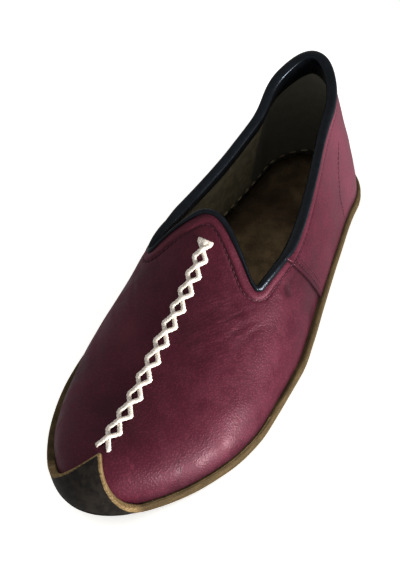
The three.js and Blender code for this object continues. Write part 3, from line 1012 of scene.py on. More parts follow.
@dataclass(frozen=True)
class SoleFinish:
    """Sole leather: raw tan where it is cut, dressed dark brown on its face."""

    name: str = "sole_leather"
    raw: str = "#65553a"
    raw_dark: str = "#473a25"
    raw_blotch: float = 0.35
    rim: str = "#94805e"
    rim_dark: str = "#6b573a"
    face: str = "#1d1916"
    face_worn: str = "#302a24"
    specular: float = 0.3
    gloss: tuple[float, float] = (0.52, 0.82)
    dye_scale: float = 40.0
    ragged: float = 0.3

    def material(self) -> bpy.types.Material:
        """Builds the material; the mark `raw` is 1 on cut edges and `rim` is 1 where the cut is fresh."""
        made, shade, where = new_material(self.name)
        fibre = shade.group(Effects.FIBRE, {"Vector": where})
        cloud = shade.group(Effects.CLOUD, {"Vector": where, "Scale": self.dye_scale})
        cut = shade.tint(colour(self.raw_dark), self.raw, fibre["Tone"])
        cut = shade.tint(cut, self.raw_dark, cloud["Blotch"], self.raw_blotch)
        fresh = shade.tint(colour(self.rim_dark), self.rim, fibre["Tone"])
        cut = shade.mix(shade.mark("rim"), cut, fresh)
        face = shade.tint(colour(self.face), self.face_worn, cloud["Blotch"])
        edge = shade.math("ADD", shade.mark("raw"), shade.times(fibre["Tone"], self.ragged))
        raw = shade.span(edge, 0.5, 0.8)
        rough = shade.span(raw, 0.0, 1.0, self.gloss)
        shade.finish(shade.mix(raw, face, cut), rough, shade.bump(fibre["Height"], 0.5, 0.3), self.specular)
        return made


@dataclass(frozen=True)
class InsoleFinish:
    """Brown insole leather, darker towards its edge, with rubbed patches."""

    name: str = "insole_leather"
    deep: str = "#66533f"
    rich: str = "#a18a69"
    edge: str = "#251d12"
    edge_zone: tuple[float, float] = (9.0, 1.0)
    edge_share: float = 0.75
    blotch: float = 0.35
    specular: float = 0.2
    gloss: tuple[float, float] = (0.55, 0.78)
    dye_scale: float = 26.0
    grain_scale: float = 620.0

    def material(self) -> bpy.types.Material:
        """Builds the material; the mark `inward` is the distance from the edge."""
        made, shade, where = new_material(self.name)
        grain = shade.group(Effects.GRAIN, {"Vector": where, "Scale": self.grain_scale})
        cloud = shade.group(Effects.CLOUD, {"Vector": where, "Scale": self.dye_scale})
        tone = shade.tint(colour(self.deep), self.rich, cloud["Broad"])
        tone = shade.tint(tone, self.edge, cloud["Blotch"], self.blotch)
        tone = shade.tint(tone, self.edge, shade.span(shade.mark("inward"), *self.edge_zone), self.edge_share)
        rough = shade.span(cloud["Blotch"], 0.0, 1.0, self.gloss)
        shade.finish(tone, rough, shade.bump(grain["Height"], 0.4, 0.15), self.specular)
        return made


@dataclass(frozen=True)
class LiningFinish:
    """Raw lining leather, olive grey, with a darker counter panel behind the heel."""

    name: str = "lining_leather"
    deep: str = "#958e77"
    light: str = "#b5ad92"
    streaks: float = 0.4
    panel: str = "#6f6c62"
    panel_share: float = 0.8
    foot_dark: str = "#2c2820"
    foot_dark_share: tuple[float, float] = (0.45, 0.9)
    roughness: float = 0.88
    specular: float = 0.25
    dye_scale: float = 30.0

    def material(self) -> bpy.types.Material:
        """Builds the material; the mark `panel` is 1 on the counter and `foot` at the insole."""
        made, shade, where = new_material(self.name)
        fibre = shade.group(Effects.FIBRE, {"Vector": where})
        cloud = shade.group(Effects.CLOUD, {"Vector": where, "Scale": self.dye_scale})
        tone = shade.tint(colour(self.deep), self.light, cloud["Blotch"])
        tone = shade.tint(tone, self.deep, fibre["Tone"], self.streaks)
        tone = shade.tint(tone, self.panel, shade.mark("panel"), self.panel_share)
        # Darker towards the insole, in patches.
        foot_dark_amount = shade.span(cloud["Blotch"], 0.0, 0.6, self.foot_dark_share)
        tone = shade.tint(tone, self.foot_dark, shade.times(shade.mark("foot"), foot_dark_amount))
        shade.finish(tone, self.roughness, shade.bump(fibre["Height"], 0.5, 0.25), self.specular)
        return made


@dataclass(frozen=True)
class ThreadFinish:
    """Sewing thread with a slightly uneven tone."""

    name: str
    light: str
    dark: str
    roughness: float = 0.75
    strand_scale: float = 1700.0

    def material(self) -> bpy.types.Material:
        """Builds the material."""
        made, shade, where = new_material(self.name)
        strands = shade.noise(where, self.strand_scale, 2.0)
        tone = shade.tint(colour(self.dark), self.light, shade.span(strands, 0.35, 0.7))
        shade.finish(tone, self.roughness, shade.bump(strands, 0.4, 0.2))
        return made


@dataclass
class Upper:
    """Vamp, quarters that lap over it, and the lining behind both."""

    bench: Bench
    ribs: Ribs
    lap: float = 1.2
    lap_under: float = 9.0
    leather: float = 1.0
    wall: float = 1.8
    edge_round: float = 0.9
    rows: int = 78
    row_bunch: float = 1.15
    top_zone: float = 11.0
    top_step: float = 0.5
    back_rows: int = 34
    lining_rows: int = 34
    stitch_down: float = 6.6
    strip_from: float = 1.9
    strip_puff: float = 0.55
    stitch_sink: float = 0.45
    stitch_width: float = 0.75
    swell_zone: tuple[float, float] = (1.0, 14.0)
    crease_rise: float = 4.0
    foot_rise: float = 6.0
    seam_rows: tuple[float, float] = (2.6, 6.4)
    seam_sink: float = 0.3
    seam_width: float = 0.7
    worn_spots: tuple[tuple[float, float, float], ...] = ((160, 27, 0.9), (173, 25, 0.8), (163, -28, 0.6))
    worn_reach: float = 13.0
    shadow_ahead: float = 0.7
    shadow_width: tuple[float, float] = (2.1, 1.1)
    shadow_fade: tuple[float, float] = (8.0, 40.0)
    # Span along the foot over which the painted sheen on the heel's quarter fades out.
    heel_sheen_zone: tuple[float, float] = (75.0, 15.0)
    lap_gap: float = 0.02
    lining_down: float = 0.4
    lining_gap: float = 0.15
    lining_swell: float = 0.5
    lining_rise: float = 8.0
    lining_most: float = 0.25
    counter_reach: float = 46.0
    counter_slope: float = 0.25
    counter_edge: float = 1.5
    counter_thick: float = 0.35
    foot_dark_zone: tuple[float, float] = (8.0, 3.5)
    stitch_distance: np.ndarray = field(init=False)

    def outer_distances(self) -> np.ndarray:
        """Distances along each rib of the outer skin's rows: even, then close together below the collar."""
        ribs = self.ribs
        top = ribs.below_collar(np.arange(self.top_zone, -self.top_step / 2, -self.top_step))
        share = np.linspace(0, 1, self.rows, endpoint=False) ** self.row_bunch
        return np.concatenate([top[:, :1] * share[None, :], top], axis=1)

    def relief(self, distance: np.ndarray, points: np.ndarray, down: np.ndarray) -> np.ndarray:
        """Height of puffed strip, stitch lines, creases and swells over the smooth skin.

        Args:
            distance: Distances along the ribs.
            points: The smooth skin.
            down: Distances from the collar's edge.

        Returns:
            One height for each point.
        """
        inside = np.clip((down - self.strip_from) / (self.stitch_down - self.strip_from), 0, 1)
        height = self.strip_puff * np.sin(np.pi * inside) ** 0.8
        height -= self.stitch_sink * bell(down - self.stitch_down, self.stitch_width)
        height += swell(points) * smooth(down, *self.swell_zone)
        below = smooth(down, self.stitch_down, self.stitch_down + self.crease_rise)
        for crease in CREASES:
            height += crease.relief(self.ribs.last, points) * below
        return height * smooth(distance, 0.0, self.foot_rise)

    def worn(self, points: np.ndarray) -> np.ndarray:
        """How much the leather is crinkled below the low corners of the collar, from 0 to 1."""
        total = np.zeros(points.shape[:-1])
        for u, x, amount in self.worn_spots:
            middle = self.ribs.last.skin(np.array(u), np.array(x))
            total += amount * bell(np.linalg.norm(points - middle, axis=-1), self.worn_reach)
        return np.clip(total, 0, 1)

    def seam_relief(self) -> np.ndarray:
        """Stitch lines of the side seams, pressed into the quarters, for each rib."""
        behind = (self.ribs.seam_foot - self.ribs.foot)[:, None]
        height = np.zeros_like(behind)
        for row in self.seam_rows:
            height -= self.seam_sink * bell(behind - row, self.seam_width)
        return height

    def seam_shadow(self, distance: np.ndarray) -> np.ndarray:
        """Painted shadow: a dark line along the lap of the side seams, wider towards the sole."""
        ahead = (self.ribs.foot - self.ribs.seam_foot)[:, None] - self.shadow_ahead
        width = blend(*self.shadow_width, smooth(distance, *self.shadow_fade))
        return bell(ahead, width)

    def build(self) -> None:
        """Builds vamp, quarters and lining."""
        ribs, bench = self.ribs, self.bench
        finish = UpperFinish().material(bench, ribs.last)
        distance = self.outer_distances()
        skin = ribs.at(distance, np.zeros_like(distance))
        down = ribs.edge_distance(skin)
        relief = self.relief(distance, skin, down)
        self.stitch_distance = np.array(
            [np.interp(-self.stitch_down, -rib_down, rib) for rib_down, rib in zip(down, distance)]
        )
        marks = {
            # The finish paints raised leather lighter (rubbed wear and painted highlight) and troughs darker
            # (painted shade).
            "relief": relief,
            "sole_up": distance,
            # Crinkled zone, whose wrinkle crests the finish paints lighter, partly as painted highlight.
            "worn": self.worn(skin),
            # Painted shadow along the lap of the side seams.
            "seam": self.seam_shadow(distance),
            # Mark for the painted sheen on the heel's quarter.
            "heel": smooth(ribs.foot, *self.heel_sheen_zone)[:, None] + 0 * distance,
        }
        toe = int(np.argmax(ribs.foot))
        on_vamp = np.flatnonzero(ribs.foot >= ribs.seam_foot - self.lap_under)
        vamp = self.panel("vamp", on_vamp, distance, relief, np.zeros(len(on_vamp)), marks)
        bench.hand_over(vamp, finish, "burgundy_leather", ["upper"])
        seam_relief = relief + self.seam_relief()
        behind = np.flatnonzero(ribs.foot < ribs.seam_foot)
        order = np.concatenate([behind[behind > toe], behind[behind < toe]])
        raised = self.lap * round_end(ribs.seam_foot - ribs.foot[order], self.edge_round)
        # The finish paints shade into these stitch lines too.
        marks["relief"] = seam_relief
        quarters = self.panel("quarters", order, distance, seam_relief, raised, marks)
        bench.hand_over(quarters, finish, "burgundy_leather")
        self.build_lining()

    def panel(
        self,
        name: str,
        order: np.ndarray,
        distance: np.ndarray,
        relief: np.ndarray,
        raised: np.ndarray,
        marks: dict[str, np.ndarray],
    ) -> bpy.types.Object:
        """One panel of the upper with its thickness and closed ends.

        Args:
            name: The panel's name.
            order: The ribs that it covers, in order.
            distance: Distances of its rows along all ribs.
            relief: Heights over the smooth skin.
            raised: Outward move of each of its ribs.
            marks: Values for the material, on all ribs.

        Returns:
            The panel.
        """
        back = np.linspace(0, distance.shape[1] - 1, self.back_rows).astype(int)[::-1]
        lift = np.zeros(len(self.ribs.foot))
        lift[order] = raised
        outside = self.ribs.at(distance, relief + lift[:, None])[order]
        under = np.where(lift > 0, self.lap_gap, -self.leather)
        inside = self.ribs.at(distance[:, back], under[:, None])[order]
        points = np.concatenate([outside, inside], axis=1)
        blank = np.zeros(inside.shape[:2])
        kept = {key: np.concatenate([value[order], blank], axis=1) for key, value in marks.items()}
        return self.bench.loft(name, points, around=False, ring=True, marks=kept)

    def build_lining(self) -> None:
        """Builds the lining, with the counter panel raised behind the heel."""
        ribs = self.ribs
        distance = ribs.below_collar(self.lining_down) * np.linspace(0, 1, self.lining_rows)[None, :]
        skin = ribs.at(distance, np.zeros_like(distance))
        reach = ribs.foot[:, None] + self.counter_slope * distance
        panel = smooth(reach, self.counter_reach, self.counter_reach - self.counter_edge)
        uneven = self.lining_swell * swell(skin) * smooth(distance, 0, self.lining_rise)
        inward = np.minimum(-self.wall - self.counter_thick * panel + uneven, -self.wall + self.lining_most)
        outer = ribs.at(distance[:, ::-1], np.full(distance.shape, -self.leather - self.lining_gap))
        points = np.concatenate([ribs.at(distance, inward), outer], axis=1)
        blank = np.zeros(outer.shape[:2])
        values = {"panel": panel, "foot": smooth(distance, *self.foot_dark_zone)}
        marks = {key: np.concatenate([value, blank], axis=1) for key, value in values.items()}
        lining = self.bench.loft("lining", points, ring=True, marks=marks)
        self.bench.hand_over(lining, LiningFinish().material())


@dataclass
class Outsole:
    """One-piece leather sole, its front turned up over the toe into a pointed beak."""

    bench: Bench
    ribs: Ribs
    thick: float = 5.0
    ledge: float = 2.4
    heel_ledge: float = 0.9
    heel_zone: tuple[float, float] = (200.0, 120.0)
    inner_ledge: float = 2.6
    inner_zone: tuple[float, float] = (135.0, 175.0)
    edge_round: float = 1.0
    beak_height: float = 28.0
    beak_aside: float = 4.4
    beak_outer: float = 25.0
    beak_inner: float = 38.0
    beak_curve: float = 1.75
    beak_thick: float = 3.7
    beak_bend: float = 6.0
    beak_blend: float = 0.35
    beak_gap: float = 0.55
    fillet: float = 0.7
    top_round: float = 1.7
    corner_steps: int = 7
    side_steps: int = 7
    climb_steps: int = 22
    fillet_steps: int = 6
    rim_steps: int = 3
    wall_under: float = 2.1
    dark_line: float = 0.9
    bare_outer: float = 1.6
    bare_inner: float = 0.9
    upturn: float = 1.5
    fillet_drop: float = 0.9
    rim_in: float = 0.3
    bottom_rows: tuple[float, ...] = (0.0, 0.5, 0.85)
    band_zone: tuple[float, float] = (0.02, 0.34)
    rim_zone: tuple[float, float] = (0.02, 0.2)
    raw_start: float = 0.3
    raw_fade: float = 0.8

    def profile(self) -> tuple[np.ndarray, np.ndarray, np.ndarray]:
        """Rows of points around the sole's section at each rib, and the marks of raw leather.

        Returns:
            The points, and for each one two marks: 1 where the leather is cut, and 1 along the beak.
        """
        ribs = self.ribs
        from_tip = ribs.side * ribs.toe_run() - self.beak_aside
        reach = np.where(from_tip > 0, self.beak_outer, self.beak_inner)
        rise = np.clip(1 - np.abs(from_tip) / reach, 0, 1)[:, None]
        climb = self.beak_height * rise**self.beak_curve
        turned = smooth(rise, 0, self.beak_blend)
        ledge = self.ledge + self.heel_ledge * smooth(ribs.foot, *self.heel_zone)
        ledge = ledge + np.where(ribs.side < 0, self.inner_ledge, 0) * smooth(ribs.foot, *self.inner_zone)
        off = blend(ledge[:, None], self.beak_gap + self.beak_thick, turned)
        bend = blend(self.edge_round, self.beak_bend, turned)
        angle = np.linspace(0, np.pi / 2, self.corner_steps)[None, :]
        corner_lift = np.minimum(bend, self.thick) * (1 - np.cos(angle))
        corner = ribs.foot_points(off - bend + bend * np.sin(angle), corner_lift)
        share = np.linspace(0, 1, self.side_steps)[None, 1:]
        upturned = smooth(climb, 0.0, self.upturn)
        drop = self.top_round * (1 - upturned)
        side = ribs.foot_points(off + 0 * share, blend(corner_lift[:, -1:], self.thick - drop, share))
        climbing = upturned[..., None]

        def edge(up: np.ndarray, out: np.ndarray) -> np.ndarray:
            """Points beside the upper, on the ledge or up along the beak."""
            up, out = np.broadcast_arrays(up, out)
            return blend(ribs.foot_points(out, self.thick + up), ribs.at(up, out), climbing)

        step = np.linspace(0, 1, self.climb_steps)[None, :]
        fall = self.fillet_drop * self.fillet * upturned
        radius = blend(self.top_round, self.fillet, upturned)
        top = np.maximum(climb - fall, 0)
        outer = edge(top * step - drop, off)
        turn = np.linspace(0, np.pi / 2, self.fillet_steps)[None, :]
        fillet = edge(top - drop + (fall + drop) * np.sin(turn), off - radius * (1 - np.cos(turn)))
        across = np.linspace(0, 1, self.rim_steps + 2)[None, 1:-1]
        rim = edge(climb, blend(off - radius, self.beak_gap + self.rim_in, across))
        inner = edge(climb * step[:, ::-2], self.beak_gap)
        under = ribs.foot_points(-self.wall_under + 0 * climb, self.thick)
        flat = ribs.foot_points(off - bend, 0.0)
        low, high = ribs.middle_points(0.0), ribs.middle_points(self.thick)
        bottom = [blend(low, flat, part) for part in self.bottom_rows]
        points = np.concatenate([*bottom, corner, side, outer, fillet, rim, inner, under, high], axis=1)
        run = run_along(points)
        first_rim = len(bottom) + self.corner_steps + self.side_steps - 1 + self.climb_steps
        below = run[:, first_rim : first_rim + 1] - run
        bare = np.where(from_tip > 0, self.bare_outer, self.bare_inner)[:, None]
        band = blend(self.thick - self.dark_line, bare, smooth(rise, *self.band_zone))
        raw = 1 - np.clip((below - band + self.raw_start) / self.raw_fade, 0, 1)
        return points, raw, smooth(rise, *self.rim_zone) + 0 * raw

    def build(self) -> None:
        """Builds the sole."""
        points, raw, rim = self.profile()
        piece = self.bench.loft("outsole_leather", points, marks={"raw": raw, "rim": rim})
        self.bench.hand_over(piece, SoleFinish().material(), "sole_leather", ["outsole"])


@dataclass
class CollarBinding:
    """Black strip folded over the collar: a rolled bead outside, a wider flat leg inside."""

    bench: Bench
    ribs: Ribs
    upper: Upper
    outside: float = 2.8
    tab_outside: float = 1.7
    inside: float = 9.0
    heel_inside: float = 3.0
    leather: float = 0.8
    bead: float = 0.2
    gap: float = 0.1
    heel_outside: float = 2.4
    heel_bead: float = 0.5
    heel_zone: tuple[float, float] = (45.0, 8.0)
    pad: float = 1.5
    thin_pad: float = 0.2
    pad_rise: tuple[float, float] = (55.0, 110.0)
    tab_zone: tuple[float, float] = (150.0, 185.0)
    inner_share: float = 0.35
    lap_rise: tuple[float, float] = (-3.0, 9.0)
    pad_depth: float = 4.5
    crown: float = 1.4
    shoulder: float = 0.3
    roll_steps: int = 17
    leg_steps: int = 9
    leg_thin: float = 0.55
    leg_curve: float = 5.0
    hem: float = 0.05
    swell_share: float = 0.35

    def section(self) -> tuple[np.ndarray, np.ndarray]:
        """Distances below the edge and outward moves of the strip's section, for each rib."""
        ribs = self.ribs
        lap = self.upper.lap * smooth(ribs.seam_foot - ribs.foot, *self.lap_rise)[:, None]
        skin = self.gap + lap
        lining = -self.upper.wall - self.gap
        along = smooth(ribs.foot, *self.tab_zone)[:, None]
        padded = smooth(ribs.foot, *self.pad_rise)[:, None] * (1 - along)
        padded = padded * np.where(ribs.side > 0, 1.0, self.inner_share)[:, None]
        pad = blend(self.thin_pad, self.pad, padded)
        heel = smooth(ribs.foot, *self.heel_zone)[:, None]
        outer = skin + self.bead + self.heel_bead * heel + self.leather
        inner = lining - self.leather - pad
        middle, reach = (outer + inner) / 2, (outer - inner) / 2
        tuck = np.arccos(np.clip((skin - middle) / reach, -1, 1))
        turn = blend(-tuck, np.pi, np.linspace(0, 1, self.roll_steps)[None, :])
        outside = blend(self.outside, self.tab_outside, along) + self.heel_outside * heel
        low = (outside - self.shoulder) / np.sin(tuck)
        roll_down = self.shoulder - np.where(turn < 0, low, self.crown) * np.sin(turn)
        roll_off = middle + reach * np.cos(turn)
        inside = self.inside + self.heel_inside * heel
        leg = np.linspace(0, 1, self.leg_steps)[None, 1:]
        leg_down = blend(self.shoulder, inside, leg)
        leg_off = lining - self.leather * (1 - self.leg_thin * leg**self.leg_curve)
        leg_off = leg_off - pad * smooth(leg_down, self.pad_depth, 0.0)
        flat = np.zeros_like(lap)
        downs = [roll_down, leg_down, inside + self.hem, flat - self.gap, flat - self.gap]
        offs = [roll_off, leg_off, flat + lining, flat + lining, skin]
        return np.concatenate(downs, axis=1), np.concatenate(offs, axis=1)

    def build(self) -> None:
        """Builds the binding."""
        down, off = self.section()
        distance = self.ribs.total[:, None] - down * self.ribs.slant[:, None]
        points = self.ribs.at(distance, off)
        points = self.ribs.at(distance, off + self.swell_share * swell(points))
        piece = self.bench.loft("binding_strip", points, ring=True)
        self.bench.hand_over(piece, BindingFinish().material(), "binding_leather", ["collar_binding"])


@dataclass
class Insole:
    """Leather plate inside the shoe, slightly trodden, with the sizes of the hand stitches around it."""

    bench: Bench
    ribs: Ribs
    wall: float = 1.8
    gap: float = 0.3
    thick: float = 2.5
    edge_round: float = 0.5
    rows: int = 22
    tread: float = 0.55
    tread_zone: tuple[float, float] = (1.0, 12.0)
    swell_share: float = 0.6
    stitch_pitch: float = 7.0
    stitch_length: float = 4.6
    stitch_width: float = 1.6
    stitch_height: float = 0.9
    stitch_up: float = 6.2
    stitch_off: float = 0.45

    def build(self) -> None:
        """Builds the plate."""
        ribs = self.ribs
        inset = -self.wall - 2 * self.gap
        low = ribs.last.sole_thick + self.gap
        high = low + self.thick
        edge = ribs.foot_points(np.full((len(ribs.foot), 1), inset - self.edge_round), high)
        middle = ribs.middle_points(high)
        share = np.linspace(0, 1, self.rows)[None, :, None]
        top = blend(edge, middle, share)
        inward = np.linalg.norm(top[..., :2] - edge[..., :2], axis=-1)
        top[..., 2] += (self.swell_share * swell(top) - self.tread) * smooth(inward, *self.tread_zone)
        heights = np.array([[low, high - self.edge_round]])
        wall = ribs.foot_points(np.full((len(ribs.foot), 2), inset), heights)
        points = np.concatenate([ribs.middle_points(low), wall, top], axis=1)
        blank = np.zeros((len(ribs.foot), points.shape[1] - self.rows))
        marks = {"inward": np.concatenate([blank, inward], axis=1)}
        piece = self.bench.loft("insole_plate", points, marks=marks)
        self.bench.hand_over(piece, InsoleFinish().material(), "insole_leather", ["insole"])


@dataclass
class Stitching:
    """Sewn rows as small raised stitches, each a squashed bead that sinks into the leather at both ends."""

    bench: Bench
    name: str
    finish: ThreadFinish
    length: float = 2.3
    width: float = 0.75
    height: float = 0.5
    pitch: float = 3.0
    look_ahead: float = 0.4
    facets: int = 6
    bm: bmesh.types.BMesh = field(default_factory=new_bmesh)

    def sew(self, line: np.ndarray, normals: np.ndarray, closed: bool = False) -> None:
        """Adds a row of stitches along a line on the surface.

        Args:
            line: Points of the line in the shoe's sizes.
            normals: Outward directions at these points.
            closed: Whether the line runs back to its start.
        """
        if closed:
            line, normals = np.concatenate([line, line[:1]]), np.concatenate([normals, normals[:1]])
        run = run_along(line)
        count = max(int(run[-1] / self.pitch), 1)
        goals = (np.arange(count) + 0.5) * run[-1] / count

        def at(values: np.ndarray, goal: np.ndarray) -> np.ndarray:
            """Values along the line at the given lengths."""
            return np.stack([np.interp(goal, run, values[:, axis]) for axis in range(3)], -1)

        front = at(line, np.minimum(goals + self.look_ahead, run[-1]))
        back = at(line, np.maximum(goals - self.look_ahead, 0))
        sizes = np.array([self.length, self.width, self.height])
        for place, way, normal in zip(at(line, goals), unit(front - back), unit(at(normals, goals))):
            turn = Matrix((np.stack([way, unit(np.cross(normal, way)), normal], 1) * sizes).tolist())
            matrix = Matrix.Translation(Vector(self.bench.to_frame(place))) @ (turn * (MM / 2)).to_4x4()
            bmesh.ops.create_uvsphere(
                self.bm, u_segments=self.facets, v_segments=self.facets, radius=1.0, matrix=matrix
            )

    def build(self) -> None:
        """Hands the sewn rows over as one piece."""
        piece = finish_mesh(self.bm, self.name)
        self.bench.hand_over(piece, self.finish.material())


@dataclass
class CrossStitch:
    """White lattice of crossed threads down the middle of the vamp, closed by a bar at its top."""

    bench: Bench
    last: Last
    start: tuple[float, float] = (137.1, 5.2)
    end: tuple[float, float] = (243.4, 3.3)
    count: int = 12
    pitch_growth: float = 0.08
    half_wide: float = 3.95
    bar_over: float = 0.3
    bars: tuple[tuple[float, float], ...] = ((0.0, 0.0), (0.014, 1.5))
    span: float = 1.16
    thread: float = 2.5
    flat: float = 0.6
    twist: float = 3.4
    stations: int = 17
    line_stations: int = 400
    sides: int = 10
    dive: float = 0.9
    dive_zone: float = 0.13
    rest: float = 0.55
    cross_lift: float = 0.75
    bar_lift: float = 0.4
    hump: float = 0.2
    ply: float = 0.1
    taper: float = 0.05
    least: float = 0.02

    def plan(self, along: np.ndarray, aside: np.ndarray) -> tuple[np.ndarray, np.ndarray]:
        """Plan places from lengths along the lattice's own line and moves to its side."""
        share = np.linspace(0, 1, self.line_stations)
        u = blend(self.start[0], self.end[0], share)
        x = blend(self.start[1], self.end[1], share)
        line = self.last.skin(u, x)
        run = run_along(line)
        part = along * run[-1]
        return np.interp(part, run, u), np.interp(part, run, x) + aside

    def lay(
        self, bm: bmesh.types.BMesh, first: tuple[float, float], second: tuple[float, float], over: float
    ) -> None:
        """Lays one thread over the leather.

        Args:
            bm: The bmesh that takes it.
            first: Where it comes out, as part of the lattice's length and move aside.
            second: Where it goes back in.
            over: How far its middle is lifted over another thread.
        """
        t = np.linspace(0, 1, self.stations)
        u, x = self.plan(blend(first[0], second[0], t), blend(first[1], second[1], t))
        normal = self.last.skin_normal(u, x)
        radius = self.thread / 2
        ends = np.minimum(t, 1 - t)
        lift = self.rest * radius + over * bell(t - 0.5, self.hump)
        lift = lift - self.dive * (1 - smooth(ends, 0.0, self.dive_zone))
        centre = self.last.skin(u, x) + normal * lift[:, None]
        way = unit(np.gradient(centre, axis=0))
        across = unit(np.cross(normal, way))
        up = unit(np.cross(way, across))
        angle = np.linspace(0, 2 * np.pi, self.sides, endpoint=False)
        length = np.linalg.norm(centre[-1] - centre[0])
        ply = 1 + self.ply * np.cos(2 * angle[None, :] - self.twist * (t * length)[:, None])
        slim = (radius * np.sqrt(np.clip(ends / self.taper, self.least, 1)))[:, None]
        ring = across[:, None] * (np.cos(angle)[None, :] * ply * slim)[..., None]
        ring = ring + up[:, None] * (np.sin(angle)[None, :] * ply * slim * self.flat)[..., None]
        lay_grid(bm, self.bench.to_frame(centre[:, None] + ring), around=False, ring=True)

    def build(self) -> None:
        """Builds the lattice of crosses and its bar."""
        bm = new_bmesh()
        share = np.linspace(0, 1, self.count)
        pitch = 1 + self.pitch_growth * (2 * share - 1)
        knots = np.concatenate([[0], np.cumsum(pitch)]) / pitch.sum()
        for low, high in zip(knots, knots[1:]):
            middle = (low + high) / 2
            half = (high - low) / 2 * self.span
            near, far = middle - half, middle + half
            self.lay(bm, (near, -self.half_wide), (far, self.half_wide), 0.0)
            self.lay(bm, (near, self.half_wide), (far, -self.half_wide), self.cross_lift * self.thread)
        for part, shorter in self.bars:
            wide = self.half_wide + self.bar_over - shorter
            self.lay(bm, (part, -wide), (part, wide), self.bar_lift)
        close_ends(bm)
        piece = finish_mesh(bm, "cross_stitch")
        finish = ThreadFinish("white_thread", "#f2ece4", "#c9beb2")
        self.bench.hand_over(piece, finish.material())


@dataclass
class SewnRows:
    """All sewn rows of the shoe: collar, side seams, counter and insole."""

    bench: Bench
    ribs: Ribs
    upper: Upper
    insole: Insole
    counter_line: tuple[tuple[float, float], ...] = ((29.0, 47.0), (38.0, 35.5), (45.0, 21.0), (45.5, 3.0))
    counter_stations: int = 40
    counter_round: int = 9
    counter_sunk: float = 0.05
    collar_sunk: float = 0.55
    seam_from: float = 2.5
    seam_clear: float = 1.5
    seam_sunk: float = 0.15
    seam_stations: int = 60

    def up_rib(self, rib: int, distance: np.ndarray, off: float) -> tuple[np.ndarray, np.ndarray]:
        """Line up one rib at the given distances and outward move, with the outward directions along it."""
        every = np.broadcast_to(distance, (len(self.ribs.foot), len(distance)))
        low, high = (self.ribs.at(every, np.full(every.shape, move))[rib] for move in (off, off + 1.0))
        return low, unit(high - low)

    def build(self) -> None:
        """Sews all rows."""
        self.sew_upper()
        self.sew_insole()

    def sew_upper(self) -> None:
        """Sews the burgundy rows of the upper."""
        ribs, upper = self.ribs, self.upper
        thread = ThreadFinish("burgundy_thread", "#562836", "#43202c", 0.6)
        rows = Stitching(self.bench, "seam_stitches", thread)
        lap = upper.lap * round_end(np.maximum(ribs.seam_foot - ribs.foot, 0), upper.edge_round)
        distance = upper.stitch_distance[:, None]
        sunk = (lap - upper.stitch_sink * self.collar_sunk)[:, None]
        low, high = (ribs.at(distance, sunk + move)[:, 0] for move in (0.0, 1.0))
        rows.sew(low, unit(high - low), closed=True)
        rows.build()
        thread = ThreadFinish("fine_thread", "#5f2e3c", "#4a212d", 0.6)
        fine = Stitching(self.bench, "fine_stitches", thread, length=2.5, width=0.5, height=0.3, pitch=2.6)
        for side in Side:
            of_side = np.flatnonzero(ribs.side == side.value)
            for behind in upper.seam_rows:
                rib = int(of_side[np.argmin(np.abs(ribs.foot[of_side] - (ribs.seam_foot - behind)))])
                end = ribs.total[rib] - (upper.stitch_down + self.seam_clear) * ribs.slant[rib]
                way = np.linspace(self.seam_from, end, self.seam_stations)
                fine.sew(*self.up_rib(rib, way, upper.lap - self.seam_sunk))
            self.sew_counter(fine, side)
        fine.build()

    def sew_counter(self, rows: Stitching, side: Side) -> None:
        """Sews the curved row that holds the heel's counter."""
        last = self.ribs.last
        knots = np.array(self.counter_line)
        t = np.linspace(0, 1, self.counter_stations)
        u, height = (np.interp(t, np.linspace(0, 1, len(knots)), column) for column in knots.T)
        window = np.ones(self.counter_round) / self.counter_round
        u = np.convolve(np.pad(u, self.counter_round // 2, mode="edge"), window, mode="valid")

        def on_wall(ahead: float, up: float) -> np.ndarray:
            """The row's points on the wall, moved along the foot and upwards."""
            wall = last.wall(u + ahead, height + up, np.full_like(u, side.value))
            return last.place(u + ahead, wall, height + up)

        normal = unit(np.cross(on_wall(1, 0) - on_wall(-1, 0), on_wall(0, 1) - on_wall(0, -1)))
        normal = normal * np.sign(normal[:, :1]) * side.value
        rows.sew(on_wall(0, 0) + normal * (self.upper.lap - self.counter_sunk), normal)

    def sew_insole(self) -> None:
        """Sews the pale hand stitches around the insole, on the lining."""
        ribs, insole = self.ribs, self.insole
        rows = Stitching(
            self.bench,
            "insole_stitches",
            ThreadFinish("beige_thread", "#d8ccab", "#a3977a"),
            length=insole.stitch_length,
            width=insole.stitch_width,
            height=insole.stitch_height,
            pitch=insole.stitch_pitch,
        )
        distance = np.full((len(ribs.foot), 1), insole.stitch_up)
        moves = (-insole.wall - insole.stitch_off, 0.0)
        low, high = (ribs.at(distance, np.full_like(distance, move))[:, 0] for move in moves)
        rows.sew(low, unit(low - high), closed=True)
        rows.build()


@dataclass(frozen=True)
class Lamp:
    """One soft studio light, aimed at the shoe."""

    name: str
    place: tuple[float, float, float]
    size: float
    power: float
    glossy: bool = True


